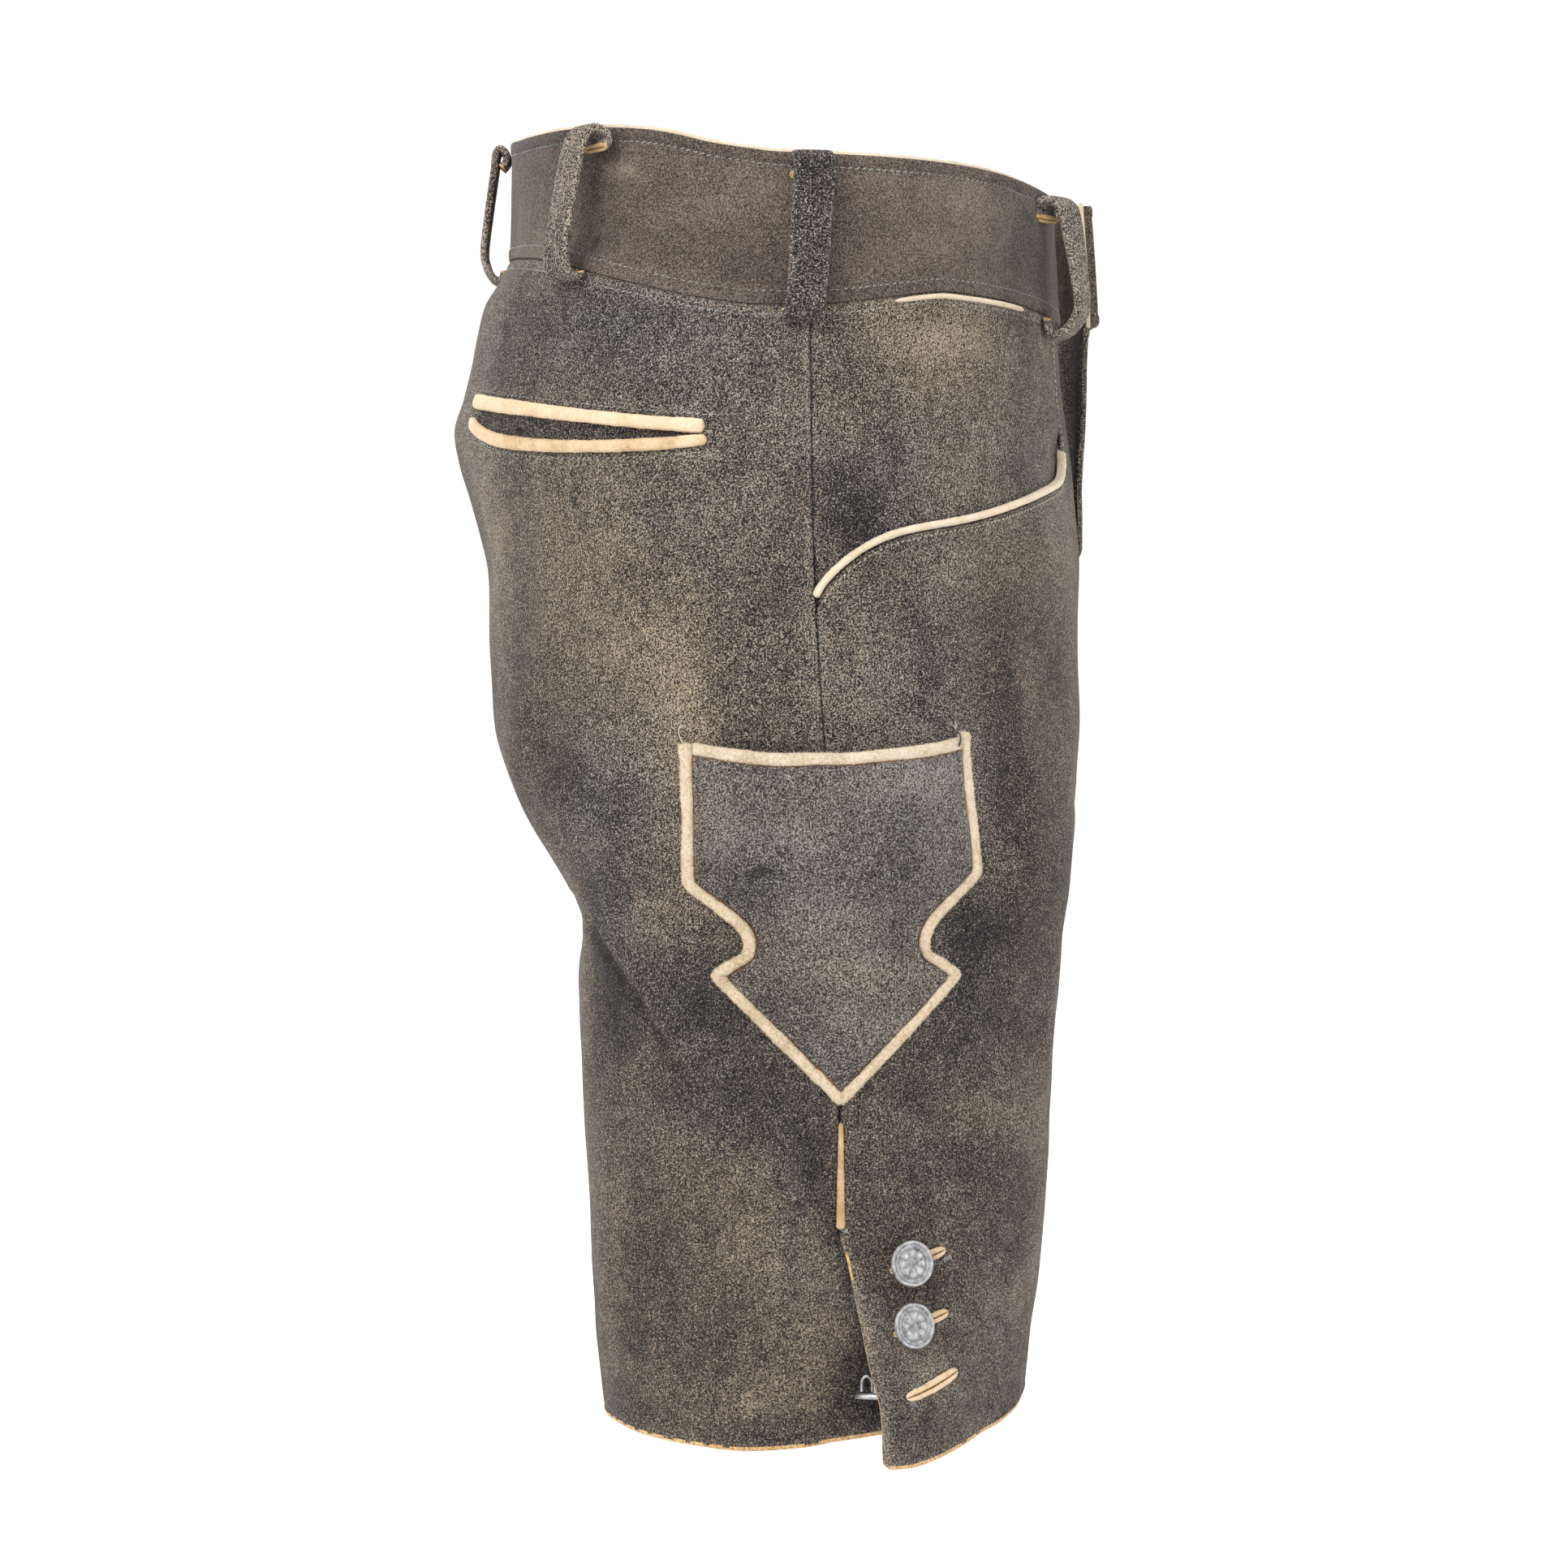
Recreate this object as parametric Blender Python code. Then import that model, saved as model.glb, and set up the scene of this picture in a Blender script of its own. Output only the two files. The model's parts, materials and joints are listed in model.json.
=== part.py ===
"""Short leather breeches with belt loops, a fly, welted back pockets and a shield pocket on each leg.

They hang as worn, hollow and open at the waist and at both hems. The wearer faces -Y and the
wearer's right is -X. The origin is the middle of the waist, where the body holds them.
Lengths in the tables and functions are millimetres; meshes are made in metres.
"""

import math

import bmesh
import bpy
import numpy as np
from mathutils import Vector

MM = 0.001

# ---- driving sizes ----
LEATHER = 2.0          # body panels
FACING = 1.6           # pale leather inside the waistband
SEAM = 0.3             # between two pieces that are sewn edge to edge
LAID = 0.45            # under a piece that is sewn on top of another
TUCKED = -3.0          # outer face of a piece that runs underneath a panel
BAND_LIFT = 1.2        # the waistband's outer face over the panels'
BAND_OVERLAP = 30.0    # the left end of the waistband past the centre front
SLIT_TOP = -402.0      # height at which the side seam opens
CROTCH = -262.0        # height of the crotch

# The outer skin, as a closed ring at each height. half_width, front and back are its reach from
# the centre of the waist. split runs from 0, one ring round both legs, to 1, a ring for each leg,
# and leg_gap is each leg's distance from the centre plane. square is the ring's roundness: 2 is
# an ellipse, and more is boxier; inner is the same for the side towards the other leg.
SKIN = {
    "height":     (45, 10, -12, -24, -34, -46, -58, -72, -86, -99, -114, -128, -142,
                   -182, -209, -235, -249, -262, -275, -284, -292, -313, -339, -365,
                   -391, -417, -443, -469, -492),
    "half_width": (166, 167, 170, 173, 175, 177, 179, 182, 184, 186, 188, 189, 190,
                   191, 191, 190.5, 190.3, 190, 189.8, 189.6, 189.5, 189, 188.5, 188,
                   187.5, 187, 186.5, 186, 185.5),
    "front":      (105, 105.5, 106, 106.3, 106.6, 107, 107.8, 109, 110.8, 112.4, 114, 115.2,
                   115.9, 114.4, 113.2, 110.7, 109, 106.9, 105, 103.7, 102.7, 101.5, 100, 98.6,
                   97, 94.9, 92, 89.2, 86.5),
    "back":       (120.5, 120.7, 121, 127, 132.2, 135, 136.6, 139.5, 143, 141, 136.4, 133, 130,
                   127.8, 124.2, 114.6, 106.8, 98.2, 90.4, 87.4, 87.8, 88.4, 87.4, 86,
                   84.4, 83.6, 82, 79, 76.6),
    "split":      (0, 0, 0, 0, 0, 0, 0, 0, 0, 0, 0, 0.01, 0.04,
                   0.26, 0.54, 0.81, 0.93, 1, 1, 1, 1, 1, 1, 1,
                   1, 1, 1, 1, 1),
    "leg_gap":    (0, 0, 0, 0, 0, 0, 0, 0, 0, 0, 0, 0, 0,
                   0, 0, 0, 0, 0.2, 1.4, 2.3, 3.1, 5.2, 7.8, 10,
                   12, 13.8, 15.2, 16.3, 17),
    "square":     (2.25, 2.25, 2.25, 2.25, 2.27, 2.3, 2.3, 2.3, 2.3, 2.3, 2.3, 2.3, 2.3,
                   2.3, 2.3, 2.3, 2.3, 2.3, 2.3, 2.3, 2.3, 2.32, 2.34, 2.36,
                   2.38, 2.4, 2.4, 2.4, 2.4),
    "inner":      (2.25, 2.25, 2.25, 2.25, 2.27, 2.3, 2.3, 2.3, 2.3, 2.3, 2.3, 2.32, 2.35,
                   2.5, 2.65, 2.8, 2.9, 2.95, 2.92, 2.88, 2.82, 2.7, 2.58, 2.5,
                   2.45, 2.4, 2.4, 2.4, 2.4),
}

# The side seam: how far it lies towards the back of the origin, by height.
SIDE_SEAM = {
    "height": (45, -45, -142, -220, -290, -353, -402, -492),
    "back": (-3.5, -3.5, -4.6, -9, -13.5, -16, -16.2, -16.2),
}

# Edges that run round the body, by angle: -90 is the centre back, 0 the side, 90 the centre front.
WAIST_TOP = {
    "angle": (-100, -90, -80, -71, -54, -42, -33, -25, -18, -12, -6, 0, 15, 30, 49, 62, 90, 110),
    "height": (35.5, 36.5, 34.2, 31.4, 28.6, 27.1, 25.5, 23.4, 20.4, 17, 14.6, 12.8, 11.7, 11.4,
               10.2, 9.2, 8.4, 8),
}
WAIST_SEAM = {
    "angle": (-110, -90, -60, -42, -34, -23, -9, 0, 9, 20, 33, 56, 77, 90, 110),
    "height": (-13.5, -13.5, -20, -26.6, -31, -36.8, -43.9, -46.6, -46, -43, -39.4, -40.2,
               -41.7, -42, -42),
}
BACK_HEM = {
    "angle": (-180, -120, -70, -49, -38, -27, -15, -3, 8, 18, 180),
    "height": (-482, -481, -479.8, -482.2, -483.4, -484.4, -485.4, -484, -481.6, -480, -480),
}
FRONT_HEM = {
    "angle": (-10, 8, 20, 36, 58, 90, 120, 180),
    "height": (-489.5, -489.2, -487.2, -483.2, -478.5, -479, -481, -482),
}

# The scooped edge of the front pocket, from its front end to the side seam.
POCKET_EDGE = {
    "height": (-95, -101.5, -106.5, -111.5, -117.1, -122.3, -130.2, -134.5, -137.2, -144,
               -151.5, -159.5),
    "angle": (72, 71.8, 70.6, 66, 56.6, 48.1, 34, 24, 17.5, 12.2, 7.6, 4.2),
}
HIP_SEAM_ANGLE = 72.0   # the short upright seam between hip piece and front panel
HIP_TUCK = 12.0         # how far the hip piece runs on under the pocket edge

# The crease under the seat: where it runs, and how strong it is there.
SEAT_FOLD = {
    "angle": (-180, -130, -90, -62, -40, -24),
    "height": (-268, -273, -283, -303, -331, -350),
    "depth": (0.4, 1.4, 2.2, 2.4, 1.6, 0.0),
}

# Soft standing folds: each is centred at an angle and height, and fades away from there.
SOFT_FOLDS = (
    # angle, height, angle_reach, height_reach, lift
    (-66, -86, 18, 26, 2.2),
    (-20, -175, 12, 60, 1.5),
    (40, -190, 13, 90, -1.4),
    (75, -300, 16, 70, 1.5),
    (30, -365, 13, 45, -1.2),
    (-60, -400, 15, 60, 1.6),
    (125, -380, 16, 70, 1.5),
    (-125, -370, 16, 60, -1.4),
    (58, -15, 9, 30, -1.8),
    (-74, 5, 12, 30, -1.2),
)

# The fly and the waistband end on the left front, by height: how far they reach past the centre
# front, how far they are lifted there to clear the right front, and how far their edge stands off.
FLY = {
    "height": (45, -38, -48, -58, -72, -85, -99, -112, -121, -127, -131, -139),
    "reach": (30, 28, 28, 28, 28, 27.5, 26, 20, 11, 3, -SEAM / 2, -SEAM / 2),
    "lift": (3.2, 3.2, 3.2, 3.2, 3.2, 3.2, 3.2, 3.2, 3.2, 3.2, 3.2, 0),
    "stand_off": (7.6, 14.2, 11.2, 8.8, 7.2, 5.0, 2.2, 0.4, 0.1, 0, 0, 0),
}

# The slit at the outside of each knee: how far the front edge has opened from the seam line, how
# far it stands off the leg, and how far the back panel runs on beneath it.
SLIT = {
    "height": (-300, -396, -401.9, -412, -428, -440, -450, -458, -466, -474, -492),
    "opening": (0, 0, 0, 1.5, 2.8, 4.2, 6.2, 8.0, 9.8, 11.2, 13.0),
    "flare": (0, 0, 0, 0.2, 1.2, 4.0, 9.4, 14.8, 17.6, 18.0, 18.0),
    "underlap": (-SEAM / 2, -SEAM / 2, 38, 42, 42, 41, 41, 40, 40, 39, 38),
    "dip": (0, TUCKED, TUCKED, TUCKED, -3.2, -4.0, -5.2, -6.2, -6.5, -6.0, -4.8),
}

# The outer outline of the leg pocket: half its width about the side seam, by height.
SHIELD = {
    "half": (57.4, 57.8, 59.0, 58.4, 56.4, 49, 41.6, 37.4, 35.6, 36.4, 40.6, 49.8, 25, 0),
    "height": (-212.5, -238, -263.5, -267.2, -270, -276, -282, -286.4, -291, -294.4, -297,
               -303.1, -328.5, -354.2),
}
SHIELD_TILT = 0.038     # its front side is this much higher, for each unit from the side seam
SHIELD_LEAN = 0.024     # and its top is this much further forward, for each unit up from -305
SHIELD_MOUTH = -219.5   # height of the corners of its top edge, without the binding
SHIELD_DIP = 4.2        # how much lower the middle of that edge is
SHIELD_GAPE = {"height": (-205, -250, -290, -320, -340), "depth": (9.5, 9.0, 6.0, 2.2, 0.0)}
SHIELD_LEATHER = 1.8
EDGING_WIDTH = 4.6      # pale edging round the leg pocket
EDGING_THICK = 2.9
BINDING_WIDTH = 6.4     # pale binding on the leg pocket's mouth
UNDER_POCKET = 0.6      # under the leg pocket's seams

# Belt loops: the angle at which each is sewn, how far it stands off, and how much lower its
# top is than usual.
LOOPS = {
    "centre_back": (-90.0, 7.2, 0.0),
    "back": (-37.5, 11.0, 0.0),
    "side": (1.5, 9.0, 0.0),
    "front": (66.5, 12.0, 3.4),
}
LOOP_WIDTH = 15.5
LOOP_THICK = 3.4

BUTTON_RADIUS = 8.7
BUTTON_SEGMENTS = 14
# Buttons and holes on the knee slit: distance in front of the side seam line, and height.
KNEE_BUTTONS = ((25.2, -414.2), (25.6, -437.8))
KNEE_HOLES = ((30.4, -413.4), (31.0, -437.2), (33.6, -459.8))
HOLE_LENGTH = 23.5
HOLE_WIDTH = 3.6
HOLE_SLOPE = math.radians(26)

# The back pocket's two welts: the height of each by angle.
BACK_POCKET = {
    "angle": (-7.6, -16, -23.6, -33, -42, -51, -58.5, -61.5),
    "upper": (-93.4, -92.2, -90.3, -87.6, -84.7, -81.8, -79.1, -77.9),
    "lower": (-99.7, -99.8, -99.1, -97.8, -95.7, -93, -88.8, -85.4),
}
WELT_WIDTH = 5.8

DARK_LEATHER = (0.165, 0.145, 0.125)
PALE_LEATHER = (0.80, 0.62, 0.38)
BAND_LEATHER = (0.19, 0.165, 0.14)
METAL = (0.55, 0.55, 0.56)


# ---- reading the tables ----
def through(table, key, by, place):
    """The smooth value at place of a table's column, without overshoot between its rows."""
    xs = np.asarray(table[by], float)
    ys = np.asarray(table[key], float)
    if xs[0] > xs[-1]:
        xs, ys = xs[::-1], ys[::-1]
    step = np.diff(ys) / np.diff(xs)
    slope = np.zeros(len(xs))
    same = step[:-1] * step[1:] > 0
    slope[1:-1][same] = 2 * step[:-1][same] * step[1:][same] / (step[:-1] + step[1:])[same]
    slope[0], slope[-1] = step[0], step[-1]
    place = min(max(place, xs[0]), xs[-1])
    k = min(int(np.searchsorted(xs, place, side="right")) - 1, len(xs) - 2)
    width = xs[k + 1] - xs[k]
    u = (place - xs[k]) / width
    return float(
        ys[k] * (1 + 2 * u) * (1 - u) ** 2
        + slope[k] * width * u * (1 - u) ** 2
        + ys[k + 1] * u * u * (3 - 2 * u)
        + slope[k + 1] * width * u * u * (u - 1)
    )


def ease(low, high, value):
    """0 below low, 1 above high and smooth between; low may be the greater."""
    u = min(max((value - low) / (high - low), 0.0), 1.0)
    return u * u * (3 - 2 * u)


# ---- the skin of the right half; the left half is its mirror image ----
RINGS = {}


def ring_sizes(height):
    """(centre_x, reach_x, centre_y, reach_y, power, inner_power) of the ring at a height."""
    key = round(height, 3)
    if key not in RINGS:
        half, front, back, split, gap, square, inner_square = (
            through(SKIN, name, "height", height)
            for name in ("half_width", "front", "back", "split", "leg_gap", "square", "inner")
        )
        inner = half * (1 - split) - gap
        RINGS[key] = (
            (inner - half) / 2, (inner + half) / 2, (back - front) / 2, (back + front) / 2,
            2 / square, 2 / inner_square,
        )
    return RINGS[key]


def rounded(value, power):
    return math.copysign(abs(value) ** power, value)


def fold_lift(angle, height):
    """How far the folds push the skin out at a place."""
    if angle < -24:
        line = through(SEAT_FOLD, "height", "angle", angle)
        depth = through(SEAT_FOLD, "depth", "angle", angle)
        above = height - line
        bulge = math.exp(-above / 34) if above > 0 else 0.0
        hollow = math.exp(above / 16) if above < 0 else 0.0
        lift = depth * (bulge * ease(0, 7, above) * 0.8 - hollow * ease(0, -7, above) * 0.8)
    else:
        lift = 0.0
    for at, level, reach, tall, size in SOFT_FOLDS:
        lift += size * math.exp(-((angle - at) / reach) ** 2 - ((height - level) / tall) ** 2)
    return lift


def spread(share, start, end, usual):
    """The distance at a share of the way across, so that only the far end takes up the slack."""
    return start + usual * share + (end - start - usual) * share ** 4


def skin_point(angle, height):
    """The skin at an angle in degrees and a height: the right half, folds included."""
    centre_x, reach_x, centre_y, reach_y, power, inner_power = ring_sizes(height)
    turn = math.radians(angle)
    if abs(angle) > 90:
        power = inner_power
    across = -reach_x * rounded(math.cos(turn), power)
    along = -reach_y * rounded(math.sin(turn), power)
    beside = ease(1, 28, -centre_x - across)
    grow = 1 + beside * fold_lift(angle, height) / math.hypot(across, along)
    return Vector((centre_x + across * grow, centre_y + along * grow, height))


def skin(angle, height, out=0.0):
    """The skin, moved out along its normal."""
    place = skin_point(angle, height)
    if out != 0.0:
        round_it = skin_point(angle + 0.6, height) - skin_point(angle - 0.6, height)
        up_it = skin_point(angle, height + 0.6) - skin_point(angle, height - 0.6)
        place += out * round_it.cross(up_it).normalized()
    return place


def centre_angle(height, short=SEAM / 2):
    """The angle at which the ring comes within short of the centre plane, or 180 below it."""
    centre_x, reach_x, _, _, power, inner_power = ring_sizes(height)
    share = (centre_x + short) / reach_x
    if share <= -1:
        return 180.0
    return math.degrees(math.acos(rounded(share, 1 / (inner_power if share < 0 else power))))


ARCS = {}
FINE = np.arange(-180.0, 180.01, 2.0)


def arc_table(height):
    """Distances round the ring, for the angles in FINE."""
    key = round(height, 1)
    if key not in ARCS:
        points = np.array([skin_point(a, key)[:2] for a in FINE])
        steps = np.hypot(*np.diff(points, axis=0).T)
        ARCS[key] = np.concatenate([[0.0], np.cumsum(steps)])
    return ARCS[key]


def seam_angle(height):
    """The angle of the side seam."""
    _, _, centre_y, reach_y, power, _ = ring_sizes(height)
    share = (centre_y - through(SIDE_SEAM, "back", "height", height)) / reach_y
    return math.degrees(math.asin(rounded(share, 1 / power)))


def angle_of(distance, height):
    """The angle at a distance from the side seam round the skin, forwards."""
    table = arc_table(height)
    start = np.interp(seam_angle(height), FINE, table)
    return float(np.interp(start + distance, table, FINE))


def distance_of(angle, height):
    """The distance from the side seam round the skin, forwards, of an angle."""
    table = arc_table(height)
    return float(np.interp(angle, FINE, table) - np.interp(seam_angle(height), FINE, table))


def on_skin(distance, height, out=0.0):
    return skin(angle_of(distance, height), height, out)


# ---- making solids ----
MATERIALS = {}


def material(name, colour, roughness=0.85, metallic=0.0):
    if name not in MATERIALS:
        made = bpy.data.materials.new(name)
        made.use_nodes = True
        made.diffuse_color = (*colour, 1)
        shader = made.node_tree.nodes["Principled BSDF"]
        shader.inputs["Base Color"].default_value = (*colour, 1)
        shader.inputs["Roughness"].default_value = roughness
        shader.inputs["Metallic"].default_value = metallic
        MATERIALS[name] = made
    return MATERIALS[name]


def add_object(name, points, faces, finish, left=False, sharp=40):
    """One closed solid. A left one is the mirror image of the points given."""
    sign = -1 if left else 1
    mesh = bpy.data.meshes.new(name)
    mesh.from_pydata([(sign * p[0] * MM, p[1] * MM, p[2] * MM) for p in points], [], faces)
    shape = bmesh.new()
    shape.from_mesh(mesh)
    bmesh.ops.recalc_face_normals(shape, faces=shape.faces)
    shape.to_mesh(mesh)
    shape.free()
    mesh.shade_smooth()
    mesh.set_sharp_from_angle(angle=math.radians(sharp))
    made = bpy.data.objects.new(name, mesh)
    made.data.materials.append(finish)
    bpy.context.scene.collection.objects.link(made)
    return made


def add_shell(name, outer, inner, finish, left=False):
    """A wall between two grids of points that have the same rows and columns."""
    rows, columns = len(outer), len(outer[0])
    points = [p for row in outer for p in row] + [p for row in inner for p in row]
    half = rows * columns
    faces = []
    for i in range(rows - 1):
        for j in range(columns - 1):
            a = i * columns + j
            faces.append((a, a + 1, a + columns + 1, a + columns))
            faces.append((half + a, half + a + columns, half + a + columns + 1, half + a + 1))
    rim = [j for j in range(columns)]
    rim += [i * columns + columns - 1 for i in range(1, rows)]
    rim += [(rows - 1) * columns + j for j in range(columns - 2, -1, -1)]
    rim += [i * columns for i in range(rows - 2, 0, -1)]
    for a, b in zip(rim, rim[1:] + rim[:1]):
        faces.append((a, b, half + b, half + a))
    return add_object(name, points, faces, finish, left)


def add_tube(name, sections, finish, left=False, sharp=40):
    """A closed solid through sections that have the same number of points."""
    count = len(sections[0])
    points = [p for section in sections for p in section]
    faces = [tuple(range(count)), tuple(range(len(points) - count, len(points)))]
    for i in range(len(sections) - 1):
        for j in range(count):
            k = (j + 1) % count
            a, b = i * count, (i + 1) * count
            faces.append((a + j, a + k, b + k, b + j))
    return add_object(name, points, faces, finish, left, sharp)


def strip_sections(path, half_width, low, high, lift=None, ends=0.55, mitred=False):
    """Sections of a rounded strip that follows a path of (distance, height) on the skin.

    lift adds to its height over the skin at each path point. The ends are narrowed, and a
    mitred strip keeps its width round sharp corners.
    """
    profile = ((-1, 0), (1, 0), (1, 0.55), (0.55, 1), (-0.55, 1), (-1, 0.55))
    sections = []
    last = len(path) - 1
    for k, (distance, height) in enumerate(path):
        sides = []
        for a, b in ((k - 1, k), (k, k + 1)):
            if 0 <= a and b <= last:
                run, rise = path[b][0] - path[a][0], path[b][1] - path[a][1]
                size = math.hypot(run, rise)
                sides.append((-rise / size, run / size))
        side = sum(s[0] for s in sides) / len(sides)
        up = sum(s[1] for s in sides) / len(sides)
        size = side * side + up * up if mitred else math.hypot(side, up)
        width = half_width[k] if isinstance(half_width, (list, tuple)) else half_width
        if k in (0, last):
            width *= ends
        width /= size
        extra = lift[k] if lift else 0.0
        sections.append([
            on_skin(
                distance + side * a * width, height + up * a * width,
                low + (high - low) * level + extra,
            )
            for a, level in profile
        ])
    return sections


def lathe(name, profile, base, axis, finish, left=False, up=Vector((0, 0, 1))):
    """A round solid: profile is (radius, distance along axis), its first and last on the axis."""
    axis = axis.normalized()
    side = axis.cross(up).normalized()
    other = axis.cross(side)
    points = [base + axis * profile[0][1]]
    faces = []
    for radius, along in profile[1:-1]:
        for k in range(BUTTON_SEGMENTS):
            turn = 2 * math.pi * k / BUTTON_SEGMENTS
            points.append(
                base + axis * along + radius * (math.cos(turn) * side + math.sin(turn) * other)
            )
    points.append(base + axis * profile[-1][1])
    last = len(points) - 1
    rings = len(profile) - 2
    for k in range(BUTTON_SEGMENTS):
        n = (k + 1) % BUTTON_SEGMENTS
        faces.append((0, 1 + n, 1 + k))
        for r in range(rings - 1):
            a, b = 1 + r * BUTTON_SEGMENTS, 1 + (r + 1) * BUTTON_SEGMENTS
            faces.append((a + k, a + n, b + n, b + k))
        faces.append((last - BUTTON_SEGMENTS + k, last - BUTTON_SEGMENTS + n, last))
    return add_object(name, points, faces, finish, left, sharp=30)


# ---- body panels ----
def row_heights(levels, angle, top_edge, hem_edge, top_fade, hem_fade):
    """The heights of the grid's rows at an angle: its ends follow the waist seam and the hem."""
    top = through(top_edge, "height", "angle", angle) - SEAM / 2
    hem = through(hem_edge, "height", "angle", angle)
    heights = []
    for level in levels:
        from_top = ease(top_fade, levels[0], level)
        from_hem = ease(hem_fade, levels[-1], level)
        heights.append(level + (top - levels[0]) * from_top + (hem - levels[-1]) * from_hem)
    return heights


BACK_LEVELS = (
    -30, -44, -58, -72, -86, -100, -116, -136, -160, -184, -206, -224, -238, -249, -257,
    CROTCH, -269, -277, -285, -295, -308, -326, -350, -374, -396, -402, -414, -430, -447,
    -465, -482,
)
BACK_COLUMNS = 15


def back_panel(left):
    """Seat, back of the leg and the underlap of the knee slit: from side to centre back."""
    outer, inner = [], []
    for level in range(len(BACK_LEVELS)):
        outer_row, inner_row = [], []
        for column in range(BACK_COLUMNS + 1):
            share = column / BACK_COLUMNS
            height = BACK_LEVELS[level]
            for _ in range(3):   # the row's height depends on the angle, and the angle on it
                end = distance_of(-centre_angle(height), height)
                if height <= CROTCH:
                    end += SEAM / 2
                distance = spread(share, -SEAM / 2, end, -205.0)
                lap = through(SLIT, "underlap", "height", height) + SEAM / 2
                distance += lap * max(1 - column / 3, 0)
                angle = angle_of(distance, height)
                height = row_heights(BACK_LEVELS, angle, WAIST_SEAM, BACK_HEM, -150, -440)[level]
            out = through(SLIT, "dip", "height", height) * ease(-16, -3, distance)
            outer_row.append(skin(angle, height, out))
            inner_row.append(skin(angle, height, out - LEATHER))
        outer.append(outer_row)
        inner.append(inner_row)
    side = "left" if left else "right"
    add_shell(f"back_{side}", outer, inner, material("dark_leather", DARK_LEATHER), left)


FRONT_LEVELS = (
    -41, -58, -74, -88, -98, -104, -108.5, -112, -116, -120.5, -125, -129.5, -133.5,
    -137.4, -142.5, -150, -158.5, -174, -194, -212, -227, -240, -250, -257, CROTCH, -269,
    -278, -292, -312, -336, -362, -386, -402, -415, -430, -446, -461, -475, -488,
)
FRONT_COLUMNS = 13


def front_start(height):
    """The distance at which the front panel's outer edge lies from the side seam."""
    if height < POCKET_EDGE["height"][-1]:
        return SEAM / 2 + through(SLIT, "opening", "height", height)
    if height > POCKET_EDGE["height"][0]:
        return distance_of(HIP_SEAM_ANGLE, height) + SEAM / 2
    edge = through(POCKET_EDGE, "angle", "height", height)
    return max(distance_of(edge, height), SEAM / 2)


def front_lift(left, distance, height, end):
    """How far the front panel stands over the skin: the knee flap, and the fly on the left."""
    out = through(SLIT, "flare", "height", height)
    out *= 1 - ease(2, 54, distance - through(SLIT, "opening", "height", height))
    if left and height > FLY["height"][-1]:
        past = distance - end
        reach = max(through(FLY, "reach", "height", height), 0)
        out += through(FLY, "lift", "height", height) * ease(-18, -2, past)
        stand_off = through(FLY, "stand_off", "height", height)
        out += stand_off * ease(-55, reach + 6, past) ** 1.3
    return out


def front_panel(left):
    """Front of the leg with its knee flap and, on the left, the fly that laps over the right."""
    outer, inner = [], []
    for level in range(len(FRONT_LEVELS)):
        outer_row, inner_row = [], []
        for column in range(FRONT_COLUMNS + 1):
            share = column / FRONT_COLUMNS
            height = FRONT_LEVELS[level]
            for _ in range(3):
                centre = distance_of(centre_angle(height), height)
                start, end = front_start(height), centre
                if height <= CROTCH:
                    end -= SEAM / 2
                elif left:
                    end += max(through(FLY, "reach", "height", height), 0)
                distance = spread(share, start, end, min(185.0, end - start))
                angle = angle_of(distance, height)
                height = row_heights(FRONT_LEVELS, angle, WAIST_SEAM, FRONT_HEM, -92, -450)[level]
            out = front_lift(left, distance, height, centre)
            outer_row.append(skin(angle, height, out))
            inner_row.append(skin(angle, height, out - LEATHER))
        outer.append(outer_row)
        inner.append(inner_row)
    side = "left" if left else "right"
    add_shell(f"front_{side}", outer, inner, material("dark_leather", DARK_LEATHER), left)


HIP_COLUMNS = 13
HIP_ROWS = 8


def hip_piece(left):
    """The piece between waistband, side seam and front pocket, tucked under the pocket edge."""
    columns = []
    for column in range(HIP_COLUMNS + 1):
        share = column / HIP_COLUMNS
        column_points = []
        for row in range(HIP_ROWS + 1):
            height = -80.0
            for _ in range(3):
                start = distance_of(seam_angle(height), height) + SEAM / 2
                end = distance_of(HIP_SEAM_ANGLE, height) - SEAM / 2
                angle = angle_of(start + (end - start) * share, height)
                top = through(WAIST_SEAM, "height", "angle", angle) - SEAM / 2
                edge = through(POCKET_EDGE, "height", "angle", min(angle, 70.0))
                height = top + (edge - HIP_TUCK - top) * row / HIP_ROWS
            out = TUCKED * ease(edge + 24, edge + 11, height)
            column_points.append((angle, height, out))
        columns.append(column_points)
    outer = [[skin(a, z, out) for a, z, out in points] for points in columns]
    inner = [[skin(a, z, out - LEATHER) for a, z, out in points] for points in columns]
    side = "left" if left else "right"
    add_shell(f"hip_{side}", outer, inner, material("dark_leather", DARK_LEATHER), left)


# ---- waistband ----
BAND_COLUMNS = 27
BAND_ROWS = 3


def band_grid(left, low_out, rise=0.0):
    """Rows of points of one half of the waistband, low_out over the skin."""
    grid = []
    for row in range(BAND_ROWS + 1):
        points = []
        for column in range(BAND_COLUMNS + 1):
            height = -10.0
            for _ in range(3):
                start = distance_of(-centre_angle(height), height)
                centre = distance_of(centre_angle(height), height)
                end = centre + (BAND_OVERLAP if left else -2.0)
                distance = start + (end - start) * column / BAND_COLUMNS
                angle = angle_of(distance, height)
                bottom = through(WAIST_SEAM, "height", "angle", angle) + SEAM / 2
                top = through(WAIST_TOP, "height", "angle", angle) + rise
                height = bottom + (top - bottom) * row / BAND_ROWS
            out = low_out
            if left:
                past = distance - centre
                out += (through(FLY, "lift", "height", height) + 1.6) * ease(-26, -2, past)
                stand_off = through(FLY, "stand_off", "height", height)
                out += stand_off * ease(-55, BAND_OVERLAP + 6, past) ** 1.3
            points.append(skin(angle, height, out))
        grid.append(points)
    return grid


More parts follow.
